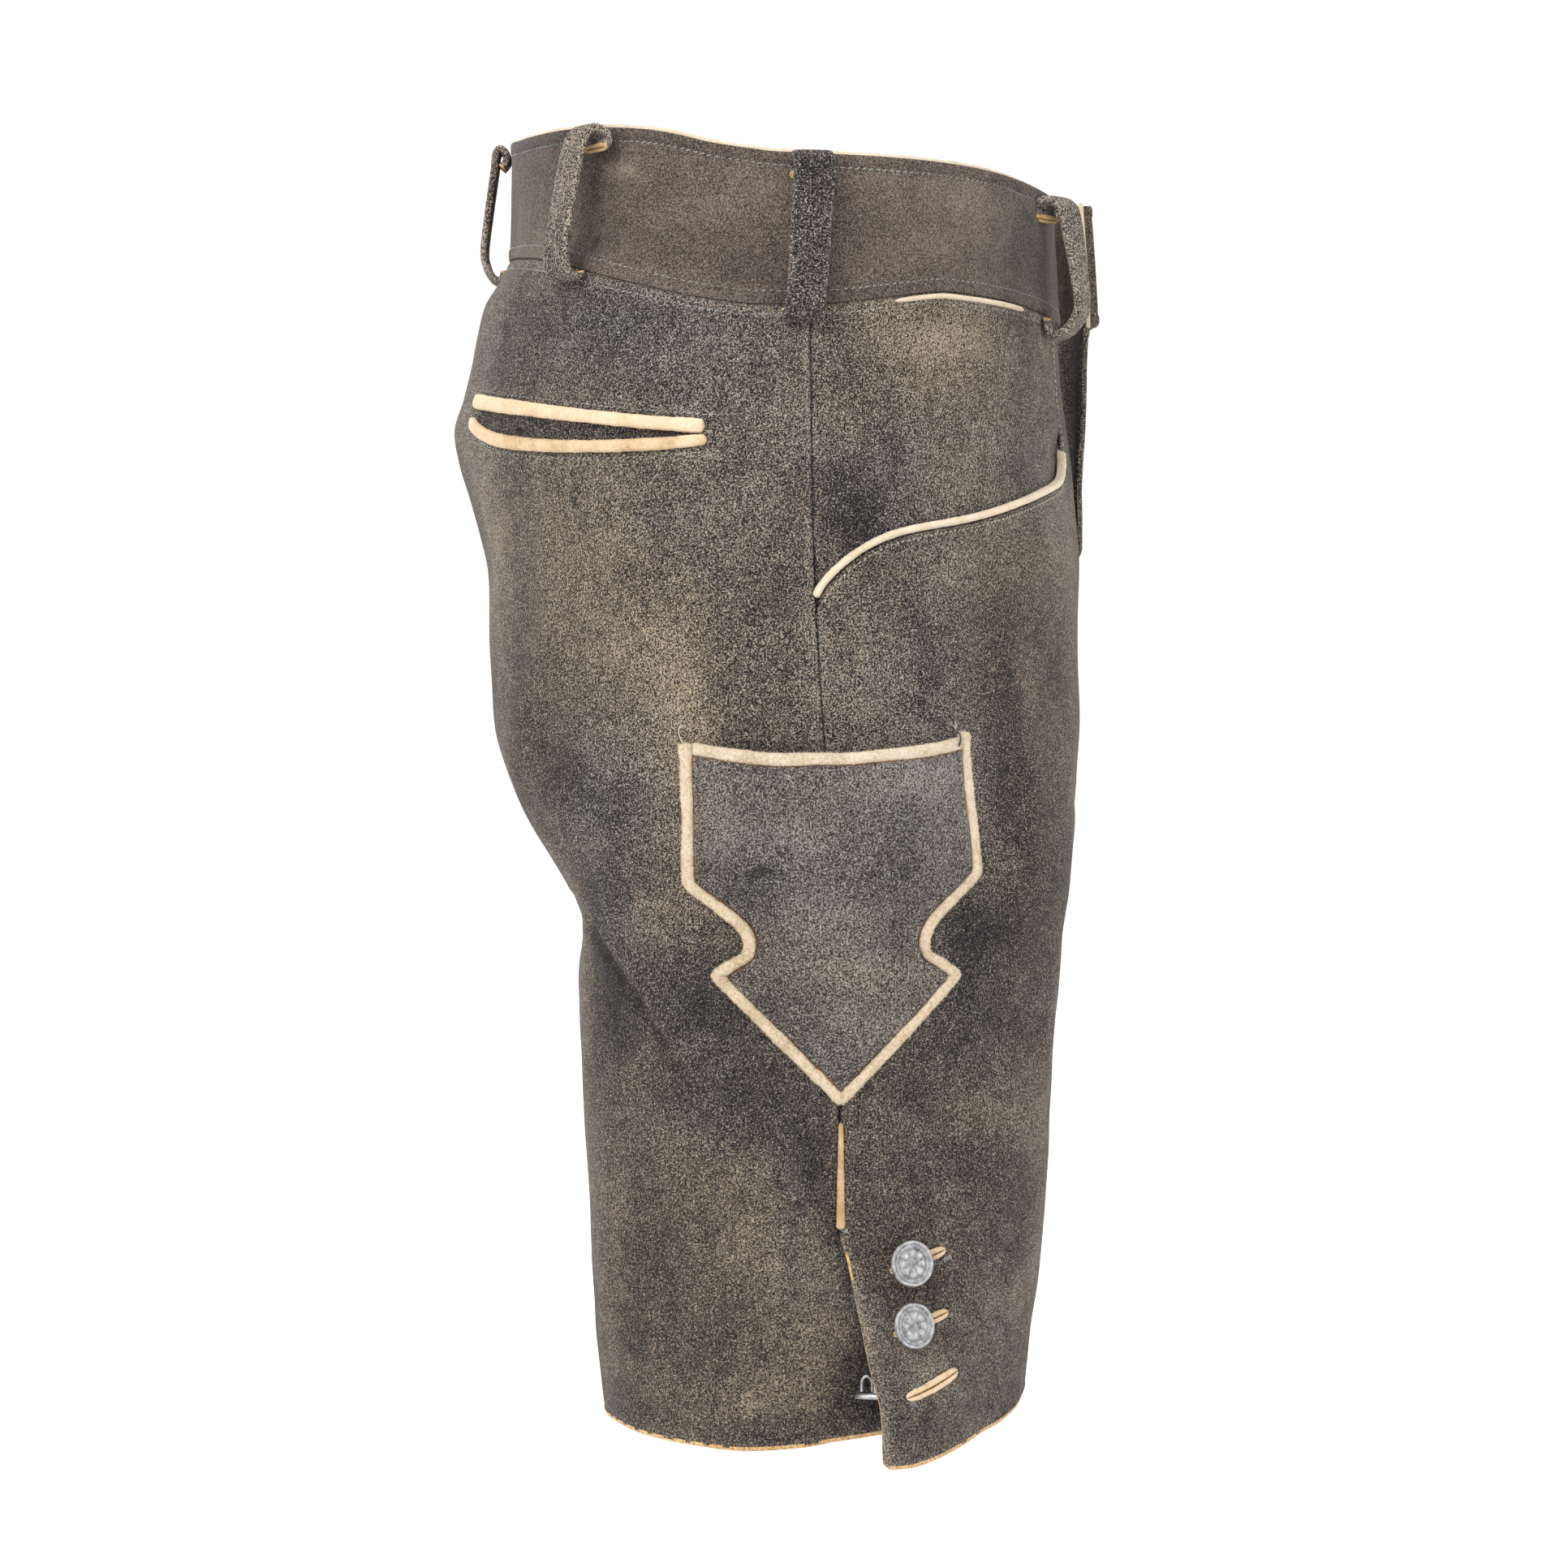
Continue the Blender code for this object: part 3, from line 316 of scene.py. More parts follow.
def makeArcs():
    # distances from the side seam round the skin, forwards, for the fine heights and angles
    rings = skinPoint(fineAngles[None, :], fineHeights[:, None], creased=False)[..., :2]
    steps = np.linalg.norm(np.diff(rings, axis=1), axis=-1)
    arcs = np.concatenate([np.zeros((len(steps), 1)), np.cumsum(steps, axis=1)], axis=1)
    seams = [np.interp(a, fineAngles, row) for a, row in zip(seamAngle(fineHeights), arcs)]
    return arcs - np.array(seams)[:, None]


arcs = makeArcs()


def spot(values, place):
    # the table row below a place, and how far the place lies towards the next one
    step = values[1] - values[0]
    k = np.clip(((place - values[0]) / step).astype(int), 0, len(values) - 2)
    return k, (place - values[0]) / step - k


def distanceOf(angle, height):
    angle, height = np.broadcast_arrays(np.asarray(angle, float), np.asarray(height, float))
    j, across = spot(fineAngles, np.clip(angle, -180, 180))
    i, up = spot(fineHeights, height)
    low = arcs[i, j] * (1 - across) + arcs[i, j + 1] * across
    high = arcs[i + 1, j] * (1 - across) + arcs[i + 1, j + 1] * across
    return low * (1 - up) + high * up


def angleOf(distance, height):
    distance, height = np.broadcast_arrays(np.asarray(distance, float), np.asarray(height, float))
    shape = distance.shape
    distance, height = distance.ravel(), height.ravel()
    i, up = spot(fineHeights, height)
    rows = arcs[i] * (1 - up[:, None]) + arcs[i + 1] * up[:, None]
    k = np.clip((rows <= distance[:, None]).sum(axis=1) - 1, 0, len(fineAngles) - 2)
    each = np.arange(len(k))
    share = (distance - rows[each, k]) / (rows[each, k + 1] - rows[each, k])
    step = fineAngles[1] - fineAngles[0]
    return (fineAngles[k] + step * np.clip(share, 0, 1)).reshape(shape)


def onSkin(distance, height, out=0.0):
    return skin(angleOf(distance, height), height, out)


# Light and dark clouds that wear and dye have left, with some painted shade under the seat fold and round
# the loose knee button: seen from the right, in the skin's own sizes.
cloudsAndShadows = (
    # from the side seam, height, reach across, reach up, tone (light above 0)
    (-86, -138, 24, 26, 0.5), (-118, -160, 18, 30, 0.35), (-80, -176, 22, 22, 0.65),
    (-52, -176, 12, 16, 0.5), (-52, -205, 12, 22, 0.5), (-112, -146, 10, 18, 0.25),
    (-132, -130, 20, 16, 0.15), (-150, -170, 12, 50, -0.3), (-84, -50, 34, 10, -0.45),
    (-96, -58, 46, 20, -0.25), (-46, -66, 36, 30, -0.2), (-66, -128, 16, 9, -0.3),
    (-120, -232, 20, 24, -0.4), (-140, -200, 16, 20, -0.2), (-92, -238, 22, 14, -0.6),
    (-110, -226, 16, 12, -0.3), (-100, -268, 24, 10, -0.4), (-62, -312, 20, 14, -0.5),
    (-48, -240, 8, 30, 0.55), (-60, -238, 10, 34, 0.2), (-66, -275, 14, 12, 0.3),
    (-50, -322, 14, 14, -0.3), (-38, -348, 18, 20, -0.45), (-14, -372, 10, 22, -0.55),
    # (-104, -304) and (-92, -324): painted shadow under the seat fold
    (-30, -392, 20, 16, -0.2), (-104, -304, 16, 16, -0.9), (-92, -324, 14, 14, -0.7),
    (-112, -334, 18, 26, -0.35), (-64, -352, 12, 12, -0.4), (-80, -380, 12, 24, -0.45),
    (-84, -410, 14, 18, -0.4), (-88, -446, 12, 20, -0.35), (-40, -400, 12, 26, 0.25),
    (-56, -424, 10, 20, 0.2), (-70, -366, 10, 12, 0.2), (-44, -436, 14, 16, -0.2),
    (-30, -468, 18, 9, 0.45), (-9, -408, 6, 12, 0.4), (-10, -450, 8, 18, 0.45),
    (-104, -474, 24, 14, -0.3), (14, -122, 18, 18, -0.7), (26, -134, 16, 8, -0.3), (17, -98, 9, 22, 0.25),
    (30, -100, 14, 18, -0.3), (52, -64, 16, 16, 0.45), (74, -54, 22, 12, 0.5), (34, -56, 14, 12, 0.35),
    (88, -100, 14, 26, 0.3), (136, -66, 26, 20, 0.35), (58, -112, 12, 10, 0.2), (112, -108, 18, 12, -0.3),
    (48, -148, 18, 8, 0.2), (62, -176, 12, 30, 0.15), (44, -190, 10, 30, -0.35), (84, -168, 16, 14, -0.3),
    (80, -222, 12, 26, -0.7), (84, -192, 10, 18, -0.3), (122, -160, 16, 60, -0.25),
    (99, -246, 14, 18, 0.3), (53, -290, 12, 12, -0.8), (72, -286, 16, 12, -0.5), (74, -318, 18, 14, -0.3),
    (44, -332, 14, 8, -0.3), (51, -358, 20, 8, 0.35), (30, -352, 12, 8, -0.3), (41, -374, 22, 8, -0.25),
    (84, -388, 18, 14, -0.3), (105, -382, 12, 16, 0.25), (92, -348, 16, 14, 0.1),
    (72, -412, 12, 12, -0.3), (64, -428, 12, 8, 0.2), (74, -446, 12, 12, -0.25), (36, -456, 14, 10, 0.2),
    (20, -470, 10, 8, -0.25), (90, -474, 20, 10, -0.3), (130, -130, 20, 24, 0.2),
    (146, -180, 20, 40, -0.35), (156, -240, 22, 30, 0.3), (140, -320, 24, 40, -0.35),
    (150, -420, 26, 36, 0.3), (130, -462, 20, 14, -0.3), (190, -300, 26, 40, -0.4),
    (210, -400, 24, 50, 0.3), (-160, -70, 22, 22, -0.3), (-176, -120, 18, 28, 0.45),
    (-190, -200, 20, 26, -0.35), (-168, -240, 16, 16, -0.5), (-180, -320, 22, 24, -0.5),
    (-200, -380, 22, 44, 0.35), (-160, -400, 18, 26, 0.25), (-150, -440, 20, 24, -0.35),
    (-108, -274, 10, 16, -0.35), (54, -318, 12, 12, -0.4), (-94, -276, 8, 10, -0.2),
    (-112, -290, 8, 14, -0.25), (97, -324, 12, 30, -0.25), (143, -50, 10, 12, 0.5),
    (50, -72, 28, 26, 0.2), (70, -70, 10, 10, 0.2), (-86, -344, 10, 12, 0.2), (-20, -380, 9, 14, 0.2),
    # (5, -463): painted shade round the loose button under the knee flap; (-110, -284): painted shade at
    # the seat fold's edge
    (-8, -398, 5, 8, 0.2), (5, -463, 8, 12, -0.6), (-110, -284, 9, 12, -0.35), (72, -232, 10, 16, -0.3),
    (90, -100, 8, 10, -0.3), (97, -312, 12, 26, -0.2), (-36, -90, 8, 6, -0.3), (33, -46, 18, 8, 0.2),
    (54, -58, 12, 9, 0.3), (74, -246, 7, 14, -0.3),
)
nicks = (
    # small dark marks in the leather: from the side seam, height, length, width, slope
    (-90.6, -20.5, 3.2, 1.7, 60), (-109, -16, 0.8, 0.8, 0), (-88, -12, 1.2, 0.6, 20),
    (118.5, -2.5, 2.0, 0.9, -40), (121.5, -5.5, 1.2, 0.8, 0), (-27.4, -264, 5.0, 1.5, 24),
    (-99, -119, 4.2, 0.7, 62), (-84, -128, 1.8, 0.6, 50), (-57, -142, 1.2, 1.0, 0),
    (91, -144, 1.6, 0.8, 70), (50, -145, 1.5, 0.7, 80), (76, -226, 1.6, 0.9, 30),
    (78.5, -252, 1.0, 0.9, 0), (61.4, -264, 1.4, 0.7, 50), (70, -240, 0.9, 0.9, 0),
    (-132, -92, 2.4, 0.8, 40), (150, -230, 2.6, 0.8, -50), (-150, -380, 2.6, 0.9, 20),
)


def cloudAndShadeTone(distance, height):
    above, depth = foldEdge(distance, height)
    tone = blots(cloudsAndShadows, distance, height)
    # painted shadow just below the seat fold's sharp edge, then a painted highlight along its rim
    tone -= 0.3 * depth * np.exp(np.minimum(above, 0) / 10) * ease(0.8, -1.2, above)
    return tone + 0.16 * depth * bump(above - 0.8, 1.6)


def nickTone(distance, height):
    tone = 0.0
    for at, level, length, width, slope in nicks:
        along, aside = slanted(distance - at, height - level, slope)
        tone = tone + np.exp(-(along / max(length, 1.5)) ** 2 - (aside / max(width, 1.2)) ** 2)
    return tone


def coolTone(distance, height, tone):
    # dark clouds turn blue-grey; the sides of the seat and the back of the leg stay brown
    cool = 0.2 - 0.5 * tone
    brown = ease(-94, -124, distance) * ease(-100, -140, height) * (1 - 0.6 * ease(-200, -250, height))
    low = ease(-235, -270, height)
    brown = np.maximum(brown, ease(60, 88, distance) * ease(-120, -145, height) * (1 - 0.5 * low))
    brown = np.maximum(brown, ease(-14, -34, distance) * ease(-350, -400, height))
    brown = np.maximum(brown, ease(14, 2, distance) * ease(-425, -445, height))
    cool = cool * (1 - 0.85 * brown) - 0.25 * brown
    # under the seat fold's edge the leather is kept warm brown: the colour of the painted shade there
    above, depth = foldEdge(distance, height)
    return np.clip(cool - 0.4 * depth * (above < 0) * np.exp(np.minimum(above, 0) / 20), -0.5, 1)


def leatherMarks(distance, height, worn, tone):
    # what the leather's material needs to know at each point
    cool = coolTone(distance, height, tone)
    return {"worn": worn, "tone": tone - 1.6 * nickTone(distance, height), "cool": cool}


# Making meshes. A mesh maker returns a piece at the origin with its place in its points.
materials = {}


def placeObject(name, data):
    made = bpy.data.objects.new(name, data)
    bpy.context.scene.collection.objects.link(made)
    return made


def placeMesh(name, points, faces, slots, faceSlots=None, marks=None, left=False, sharp=42):
    points = np.array(points, float) * mm
    if left:
        points[:, 0] *= -1
        faces = [f[::-1] for f in faces]
    mesh = bpy.data.meshes.new(name)
    mesh.from_pydata(points.tolist(), [], faces)
    for slot in slots:
        mesh.materials.append(materials[slot])
    if faceSlots is not None:
        mesh.polygons.foreach_set("material_index", np.asarray(faceSlots, np.int32))
    for mark, values in (marks or {}).items():
        layer = mesh.attributes.new(mark, "FLOAT", "POINT")
        layer.data.foreach_set("value", np.asarray(values, np.float32))
    mesh.validate()
    mesh.shade_smooth()
    mesh.set_sharp_from_angle(angle=math.radians(sharp))
    return placeObject(name, mesh)


def corners(grid):
    # the corners of each quad in a grid of point numbers
    return grid[:-1, :-1].ravel(), grid[:-1, 1:].ravel(), grid[1:, 1:].ravel(), grid[1:, :-1].ravel()


def shellFaces(rows, columns, turned):
    # quads of a wall between an outer and an inner grid, as arrays: outer, inner and the four rims
    grid = np.arange(rows * columns).reshape(rows, columns)
    a, b, c, d = corners(grid)
    half = rows * columns
    parts = [np.stack([a, d, c, b], axis=1), np.stack([a, b, c, d], axis=1) + half]
    for rim in (grid[0, :], grid[:, -1], grid[-1, ::-1], grid[::-1, 0]):
        parts.append(np.stack([rim[:-1], rim[1:], rim[1:] + half, rim[:-1] + half], axis=1))
    return [p[:, ::-1] for p in parts] if turned else parts


def makeShell(name, outer, inner, slots, marks, left, turned=False, rims=None, paint=()):
    # A wall between two grids of points (rows, columns, 3). slots: outside, inside, turned edge and
    # cut edge. rims: another slot than the turned edge's for the top, end, hem or start rim. paint:
    # masks over the quads, with the slot they take and their layers, 0 outside and 1 inside.
    parts = shellFaces(*outer.shape[:2], turned)
    faceSlots = [np.zeros(len(parts[0])), np.ones(len(parts[1]))]
    for side, part in zip(("top", "end", "hem", "start"), parts[2:]):
        faceSlots.append((rims or {}).get(side, 2) + np.zeros(len(part)))
    for mask, slot, layers in paint:
        for layer in layers:
            faceSlots[layer][mask.ravel()] = slot
    points = np.concatenate([outer.reshape(-1, 3), inner.reshape(-1, 3)])
    both = {mark: np.tile(values.ravel(), 2) for mark, values in marks.items()}
    faces = np.concatenate(parts).tolist()
    return placeMesh(name, points, faces, slots, np.concatenate(faceSlots), both, left)


def makeTube(name, sections, slots, left=False, faceSlots=None, marks=None, sharp=50):
    # a solid through sections (count, sides, 3) with flat ends
    count, around = sections.shape[:2]
    grid = np.arange(count * around).reshape(count, around)
    faces = np.stack(corners(np.concatenate([grid, grid[:, :1]], axis=1)), axis=1).tolist()
    faces += [grid[0, ::-1].tolist(), grid[-1].tolist()]
    piece = placeMesh(name, sections.reshape(-1, 3), faces, slots, faceSlots, marks, left, sharp)
    shape = bmesh.new()
    shape.from_mesh(piece.data)
    bmesh.ops.recalc_face_normals(shape, faces=shape.faces)
    shape.to_mesh(piece.data)
    shape.free()
    return piece


def quadMiddles(grid):
    return (grid[:-1, :-1] + grid[1:, :-1] + grid[:-1, 1:] + grid[1:, 1:]) / 4


def settle(piece, node=None):
    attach(piece, "root")
    if node:
        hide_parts(node)


sides = ((False, "right", "Right"), (True, "left", "Left"))
nearEdge = (0.0, 0.35, 0.9, 1.6, 2.4, 3.2, 3.9, 4.6, 5.6, 7.0)
plainEdge = (0.0, 0.35, 0.9, 1.8, 3.4)


def edged(length, step, near):
    # places from 0 to length: close together near both ends, then evenly spaced
    near = np.array(near)
    count = max(int(round((length - 2 * near[-1]) / step)), 2)
    middle = np.linspace(near[-1], length - near[-1], count + 1)[1:-1]
    return np.concatenate([near, middle, length - near[::-1]])


def spread(share, start, end, usual):
    return start + usual * share + (end - start - usual) * share ** 4


def rowHeights(levels, angle, hem, cut):
    # the height of each row at an angle: the rows follow the waist seam and the hem
    top = through(waistSeam, "height", angle) - leather["seamGap"] / 2
    bottom = through(hem, "height", angle)
    fromTop = ease(cut["fadeTop"], levels[0, 0], levels)
    fromHem = ease(cut["fadeHem"], levels[-1, 0], levels)
    return levels + (top - levels[0, 0]) * fromTop + (bottom - levels[-1, 0]) * fromHem


def panelRows(cut):
    # a panel's rows by height, closer where it is cut, and its columns by their share of the way
    levels = cut["top"] - edged(cut["top"] - cut["hem"], cut["step"], nearEdge)
    extra = [kneeSlit["top"] + up for up in cut["slitRows"]]
    if "scoopStep" in cut:
        top, foot = pocketScoop["top"], pocketScoop["foot"]
        levels = levels[(levels > top) | (levels < foot)]
        extra = [*extra, *np.arange(top, foot, -cut["scoopStep"])]
    levels = np.unique(np.concatenate([levels, extra]))[::-1][:, None]
    return levels, (edged(cut["usual"], cut["across"], plainEdge) / cut["usual"])[None, :]


def turnedEdge(away, stitch=None):
    # how a turned and stitched edge stands: it rolls in at the seam and is quilted at the stitches
    lift = -0.85 * bump(away, 0.9)
    if stitch:
        lift = lift + 0.5 * ease(stitch + 1.6, stitch - 0.9, away) - 0.38 * bump(away - stitch, 0.7)
    return lift


def cutEdge(away):
    return -0.3 * bump(away, 0.55)


def paintedSeamShade(away):
    # a dark line painted along a seam between its two turned edges: painted shade in the seam's groove
    return -1.5 * bump(away, 0.3)


backCut = {"top": -30.0, "hem": -482.0, "step": 2.5, "across": 2.6, "usual": 205.0,
           "fadeTop": -150.0, "fadeHem": -440.0,
           "slitRows": (9, 6.2, 5.2, 3.8, 2.4, 1.2, 0.2, -0.6)}
# How far the rows of stitches lie from the edges that they hold.
stitches = {"edge": 4.2, "hem": 3.2, "fly": 5.0, "lap": 4.0, "bandFoot": 4.6, "welt": 4.6,
            "scoop": 1.7, "hip": 2.2, "hemRow": 2.2}


def toPlane(angle, height, sign):
    # above the crotch a panel's last column lies on the centre plane
    last = height[:, -1]
    angle[:, -1] = np.where(last > crotch, sign * centreAngle(last), angle[:, -1])


def sideEdge(away, slit):
    # a turned edge at the side seam, and a cut one along the knee slit
    return turnedEdge(away) * (1 - slit) + cutEdge(away) * slit


def hemEdge(away):
    return cutEdge(away) - 0.25 * bump(away - stitches["hem"], 0.8)


def hemRim(away, distance):
    return quadMiddles(away + 0.25 * np.sin(distance * 0.7)) < 1.3


def backGrid():
    gap = leather["seamGap"]
    levels, share = panelRows(backCut)
    height = levels + 0 * share
    for _ in range(4):
        end = distanceOf(-centreAngle(height), height) + np.where(height <= crotch, gap / 2, 0)
        distance = spread(share, -gap / 2, end, -backCut["usual"])
        lap = through(kneeSlit, "underlap", height) + gap / 2
        distance = distance + lap * np.maximum(1 - share * 5, 0)
        angle = angleOf(distance, height)
        height = rowHeights(levels, angle, backHem, backCut)
    toPlane(angle, height, -1)
    out = through(kneeSlit, "dip", height) * ease(-16, -3, distance)
    return distance, height, angle, out, end


def makeBack():
    distance, height, angle, out, end = backGrid()
    fromTop, fromHem = height[:1] - height, height - height[-1:]
    fromSide, fromCentre = np.abs(distance - distance[:, :1]), np.abs(distance - end)
    slit = ease(kneeSlit["top"] + 4, kneeSlit["top"] - 2, height)
    rubbed, mouth = besideWelts(distance, height)
    lift = turnedEdge(fromTop, stitches["edge"]) + turnedEdge(fromCentre) + hemEdge(fromHem)
    lift += sideEdge(fromSide, slit) - 1.5 * mouth
    worn = 0.8 * bump(fromTop, 3.5) + 0.45 * bump(fromCentre, 3.0) + 0.8 * bump(fromHem, 3.0)
    worn += 0.5 * bump(fromSide, 3.0) + rubbed
    worn += 0.9 * bump(fromSide - 1.9, 1.3) * (0.3 + 0.7 * bump(height + 68, 12)) * (1 - slit)
    # painted shade: darker in the back pocket's slit between the welts and in the side seam's groove; next
    # line, a painted shadow beside the knee flap's edge
    tone = cloudAndShadeTone(distance, height) - 0.3 * mouth + paintedSeamShade(fromSide) * (1 - slit)
    tone = tone - 0.3 * bump(distance - through(kneeSlit, "opening", height), 4) * slit
    marks = leatherMarks(distance, height, worn, tone)
    outer = skin(angle, height, out + lift)
    inner = skin(angle, height, out - leather["wall"] + 0.3 * bump(fromSide, 0.8) * slit)
    for left, side, ending in sides:
        piece = makeShell(f"back{ending}", outer, inner,
                          ("suede", "fleshSide", "suedeEdge", "cutLeather"), marks, left, turned=True,
                          rims={"hem": 3}, paint=[(hemRim(fromHem, distance), 3, (0,))])
        settle(piece, f"back_{side}")


def besideWelts(distance, height):
    # the rubbed leather round the back pocket, and its slit between the two welts
    angle = angleOf(distance, height)
    above = height - through(backPocket, "upper", angle)
    below = through(backPocket, "lower", angle) - height
    low, high = backPocket["angle"][-1], backPocket["angle"][0]
    within = ease(low - 3, low + 1, angle) * ease(high + 3, high - 1, angle)
    inside = ease(low + 0.5, low + 3, angle) * ease(high - 0.5, high - 3, angle)
    return (0.5 * within * (bump(above - backPocket["welt"], 2.6) + bump(below - backPocket["welt"], 2.6)),
            inside * ease(-1.6, -3.2, above) * ease(-1.6, -3.2, below))


backPocket = {
    "angle": (-7.6, -16, -23.6, -33, -42, -51, -58.5, -61.5),
    "upper": (-94.2, -92.4, -90.3, -87.4, -84.4, -81.5, -78.9, -77.9),
    "lower": (-99.3, -100.6, -100.8, -100.0, -98.2, -95.2, -90.0, -85.6),
    "welt": 5.6,
}

frontCut = {"top": -41.0, "hem": -488.0, "step": 3.4, "across": 3.2, "usual": 185.0,
            "fadeTop": -92.0, "fadeHem": -450.0, "slitRows": (3.0, 1.5, 0.6, -0.3, -1.5),
            "scoopStep": 1.1, "corner": {"angle": 12.0, "tall": 4.0, "deep": 3.6}}


def smoothed(path, rounds):
    for _ in range(rounds):
        path[1:-1] = (path[:-2] + path[1:-1] * 2 + path[2:]) / 4
    return path


def makeScoop():
    # the pocket edge's distance from the side seam by height, its corners eased
    height = np.linspace(pocketScoop["top"] + 2, pocketScoop["foot"], 1500)
    edge = distanceOf(through(pocketScoop, "angle", height), height)
    edge = np.where(height > pocketScoop["height"][0], distanceOf(pocketScoop["hipSeam"], height), edge)
    edge = np.where(height < pocketScoop["height"][-1], 0.0, edge)
    return smoothed(resample(pairs(edge, height), 0.35), 700)[::-1]


def frontStart(height):
    # where the front panel's outer edge lies from the side seam
    low = leather["seamGap"] / 2 + through(kneeSlit, "opening", height)
    high = distanceOf(pocketScoop["hipSeam"], height) + leather["seamGap"] / 2
    middle = np.interp(height, scoopCurve[:, 1], scoopCurve[:, 0])
    middle = np.maximum(middle, leather["seamGap"] / 2)
    start = np.where(height < pocketScoop["foot"] + 1, low, middle)
    return np.where(height > pocketScoop["top"] + 1, high, start)


def runLength(path):
    steps = np.linalg.norm(np.diff(path, axis=0), axis=1)
    return np.concatenate([[0], np.cumsum(steps)])


def resample(path, step=1.0, count=None):
    run = runLength(path)
    even = np.linspace(0, run[-1], count or max(int(run[-1] / step), 2) + 1)
    return np.stack([np.interp(even, run, path[:, i]) for i in range(path.shape[1])], axis=1)


scoopCurve = makeScoop()


def pastCentre(distance, height):
    return distance - distanceOf(centreAngle(height), height)


def lapReach(height):
    return np.maximum(through(flyLap, "reach", height), 0)


def lapLift(past, height, reach, extra=0.0, rise=flyLap["rise"]):
    # how far the lap stands over the skin, by how far a place lies past the centre
    lift = (through(flyLap, "lift", height) + extra) * ease(*rise, past)
    start, beyond = flyLap["sweep"]
    out = ease(start, reach + beyond, past) ** flyLap["power"]
    return lift + through(flyLap, "standOff", height) * out


def frontLift(left, distance, height, centre):
    # how far the front stands over the skin: the knee flap, and the fly on the left
    away = distance - through(kneeSlit, "opening", height)
    out = through(kneeSlit, "flare", height) * (1 - ease(*kneeSlit["flareReach"], away))
    if left:
        fly = lapLift(distance - centre, height, lapReach(height))
        out = out + np.where(height > flyLap["height"][-1], fly, 0.0)
    return out


def frontGrid(left):
    gap, corner = leather["seamGap"], frontCut["corner"]
    levels, share = panelRows(frontCut)
    height = levels + 0 * share
    for _ in range(4):
        centre = distanceOf(centreAngle(height), height)
        # the flap's lower corner is rounded
        level = through(frontHem, "height", corner["angle"])
        rise = np.clip(1 - (height - level) / corner["tall"], 0, 1)
        start = frontStart(height) + corner["deep"] * (1 - np.sqrt(1 - rise * rise))
        end = centre - np.where(height <= crotch, gap / 2, 0)
        if left:
            end = end + np.where(height > crotch, lapReach(height), 0)
        distance = spread(share, start, end, np.minimum(frontCut["usual"], end - start))
        angle = angleOf(distance, height)
        height = rowHeights(levels, angle, frontHem, frontCut)
    if not left:
        toPlane(angle, height, 1)
    return distance, height, angle, centre, start, end


def makeFront():
    for left, side, ending in sides:
        distance, height, angle, centre, start, end = frontGrid(left)
        out = frontLift(left, distance, height, centre)
        fromTop, fromHem = height[:1] - height, height - height[-1:]
        fromSide, fromCentre = np.abs(distance - start), np.abs(end - distance)
        low, high = pocketScoop["foot"], pocketScoop["top"]
        scoop = ease(low + 2, low + 6, height) * ease(high, high - 4, height)
        slit = ease(kneeSlit["top"] + 3, kneeSlit["top"] - 2, height)
        fly = ease(-139, -128, height) if left else 0 * height
        steep = np.abs(np.gradient(start[:, 0], height[:, 0]))[:, None]
        sideAway = np.where(scoop > 0.5, fromSide / np.hypot(1, np.clip(steep, 0, 12)), fromSide)
        lift = turnedEdge(fromTop, stitches["edge"]) + hemEdge(fromHem)
        lift += turnedEdge(fromCentre) * (1 - fly)
        lift += (cutEdge(fromCentre) + 0.4 * turnedEdge(fromCentre, stitches["fly"])) * fly
        lift += turnedEdge(sideAway) * (1 - slit) + cutEdge(fromSide) * slit
        worn = 0.7 * bump(fromTop, 3.5) + 0.4 * bump(fromCentre, 3.0) + 0.8 * bump(fromHem, 3.0)
        worn += 0.55 * bump(sideAway, 3.2) + 0.6 * bump(fromSide, 3.4) * slit
        worn += holeWear(distance, height)
        # the seam term is painted shade in the side seam's groove
        tone = cloudAndShadeTone(distance, height) + paintedSeamShade(fromSide) * (1 - scoop) * (1 - slit)
        marks = leatherMarks(distance, height, worn, tone)
        outer = skin(angle, height, out + lift)
        inner = skin(angle, height, out - leather["wall"] + 0.3 * bump(fromSide, 0.8) * slit)
        middle = (height[1:, 0] + height[:-1, 0])[::-1] / 2
        rims = {"hem": 3, "start": np.where(middle < kneeSlit["top"], 3, 2)}
        # the cut hem, and the first buttonhole's end, which runs over the flap's edge
        pale = hemRim(fromHem, distance)
        pale |= (quadMiddles(fromSide) < 0.8) & (np.abs(quadMiddles(height) + 415) < 5.5)
        under = (quadMiddles(distance - centre) > -26) & (quadMiddles(height) > -130) & left
        piece = makeShell(f"front{ending}", outer, inner,
                          ("suede", "fleshSide", "suede", "cutLeather", "suede"), marks, left,
                          rims=rims, paint=[(pale, 3, (0,)), (under, 4, (1,))])
        settle(piece, f"front_{side}")


kneeHoles = {"places": ((30.0, -412.6), (30.6, -436.4), (32.4, -458.6)),
             "length": 24.0, "width": 4.3, "slope": 19.0}


def holeWear(distance, height):
    # pale rubbed leather round the knee buttonholes
    worn = 0 * distance
    for at, level in kneeHoles["places"]:
        along, aside = slanted(distance - at, height - level, kneeHoles["slope"])
        worn = worn + 0.75 * np.exp(-(along / 15) ** 4) * bump(aside, 5.2)
    return worn


hipCut = {"wide": 170.0, "tall": 100.0, "step": 3.2}


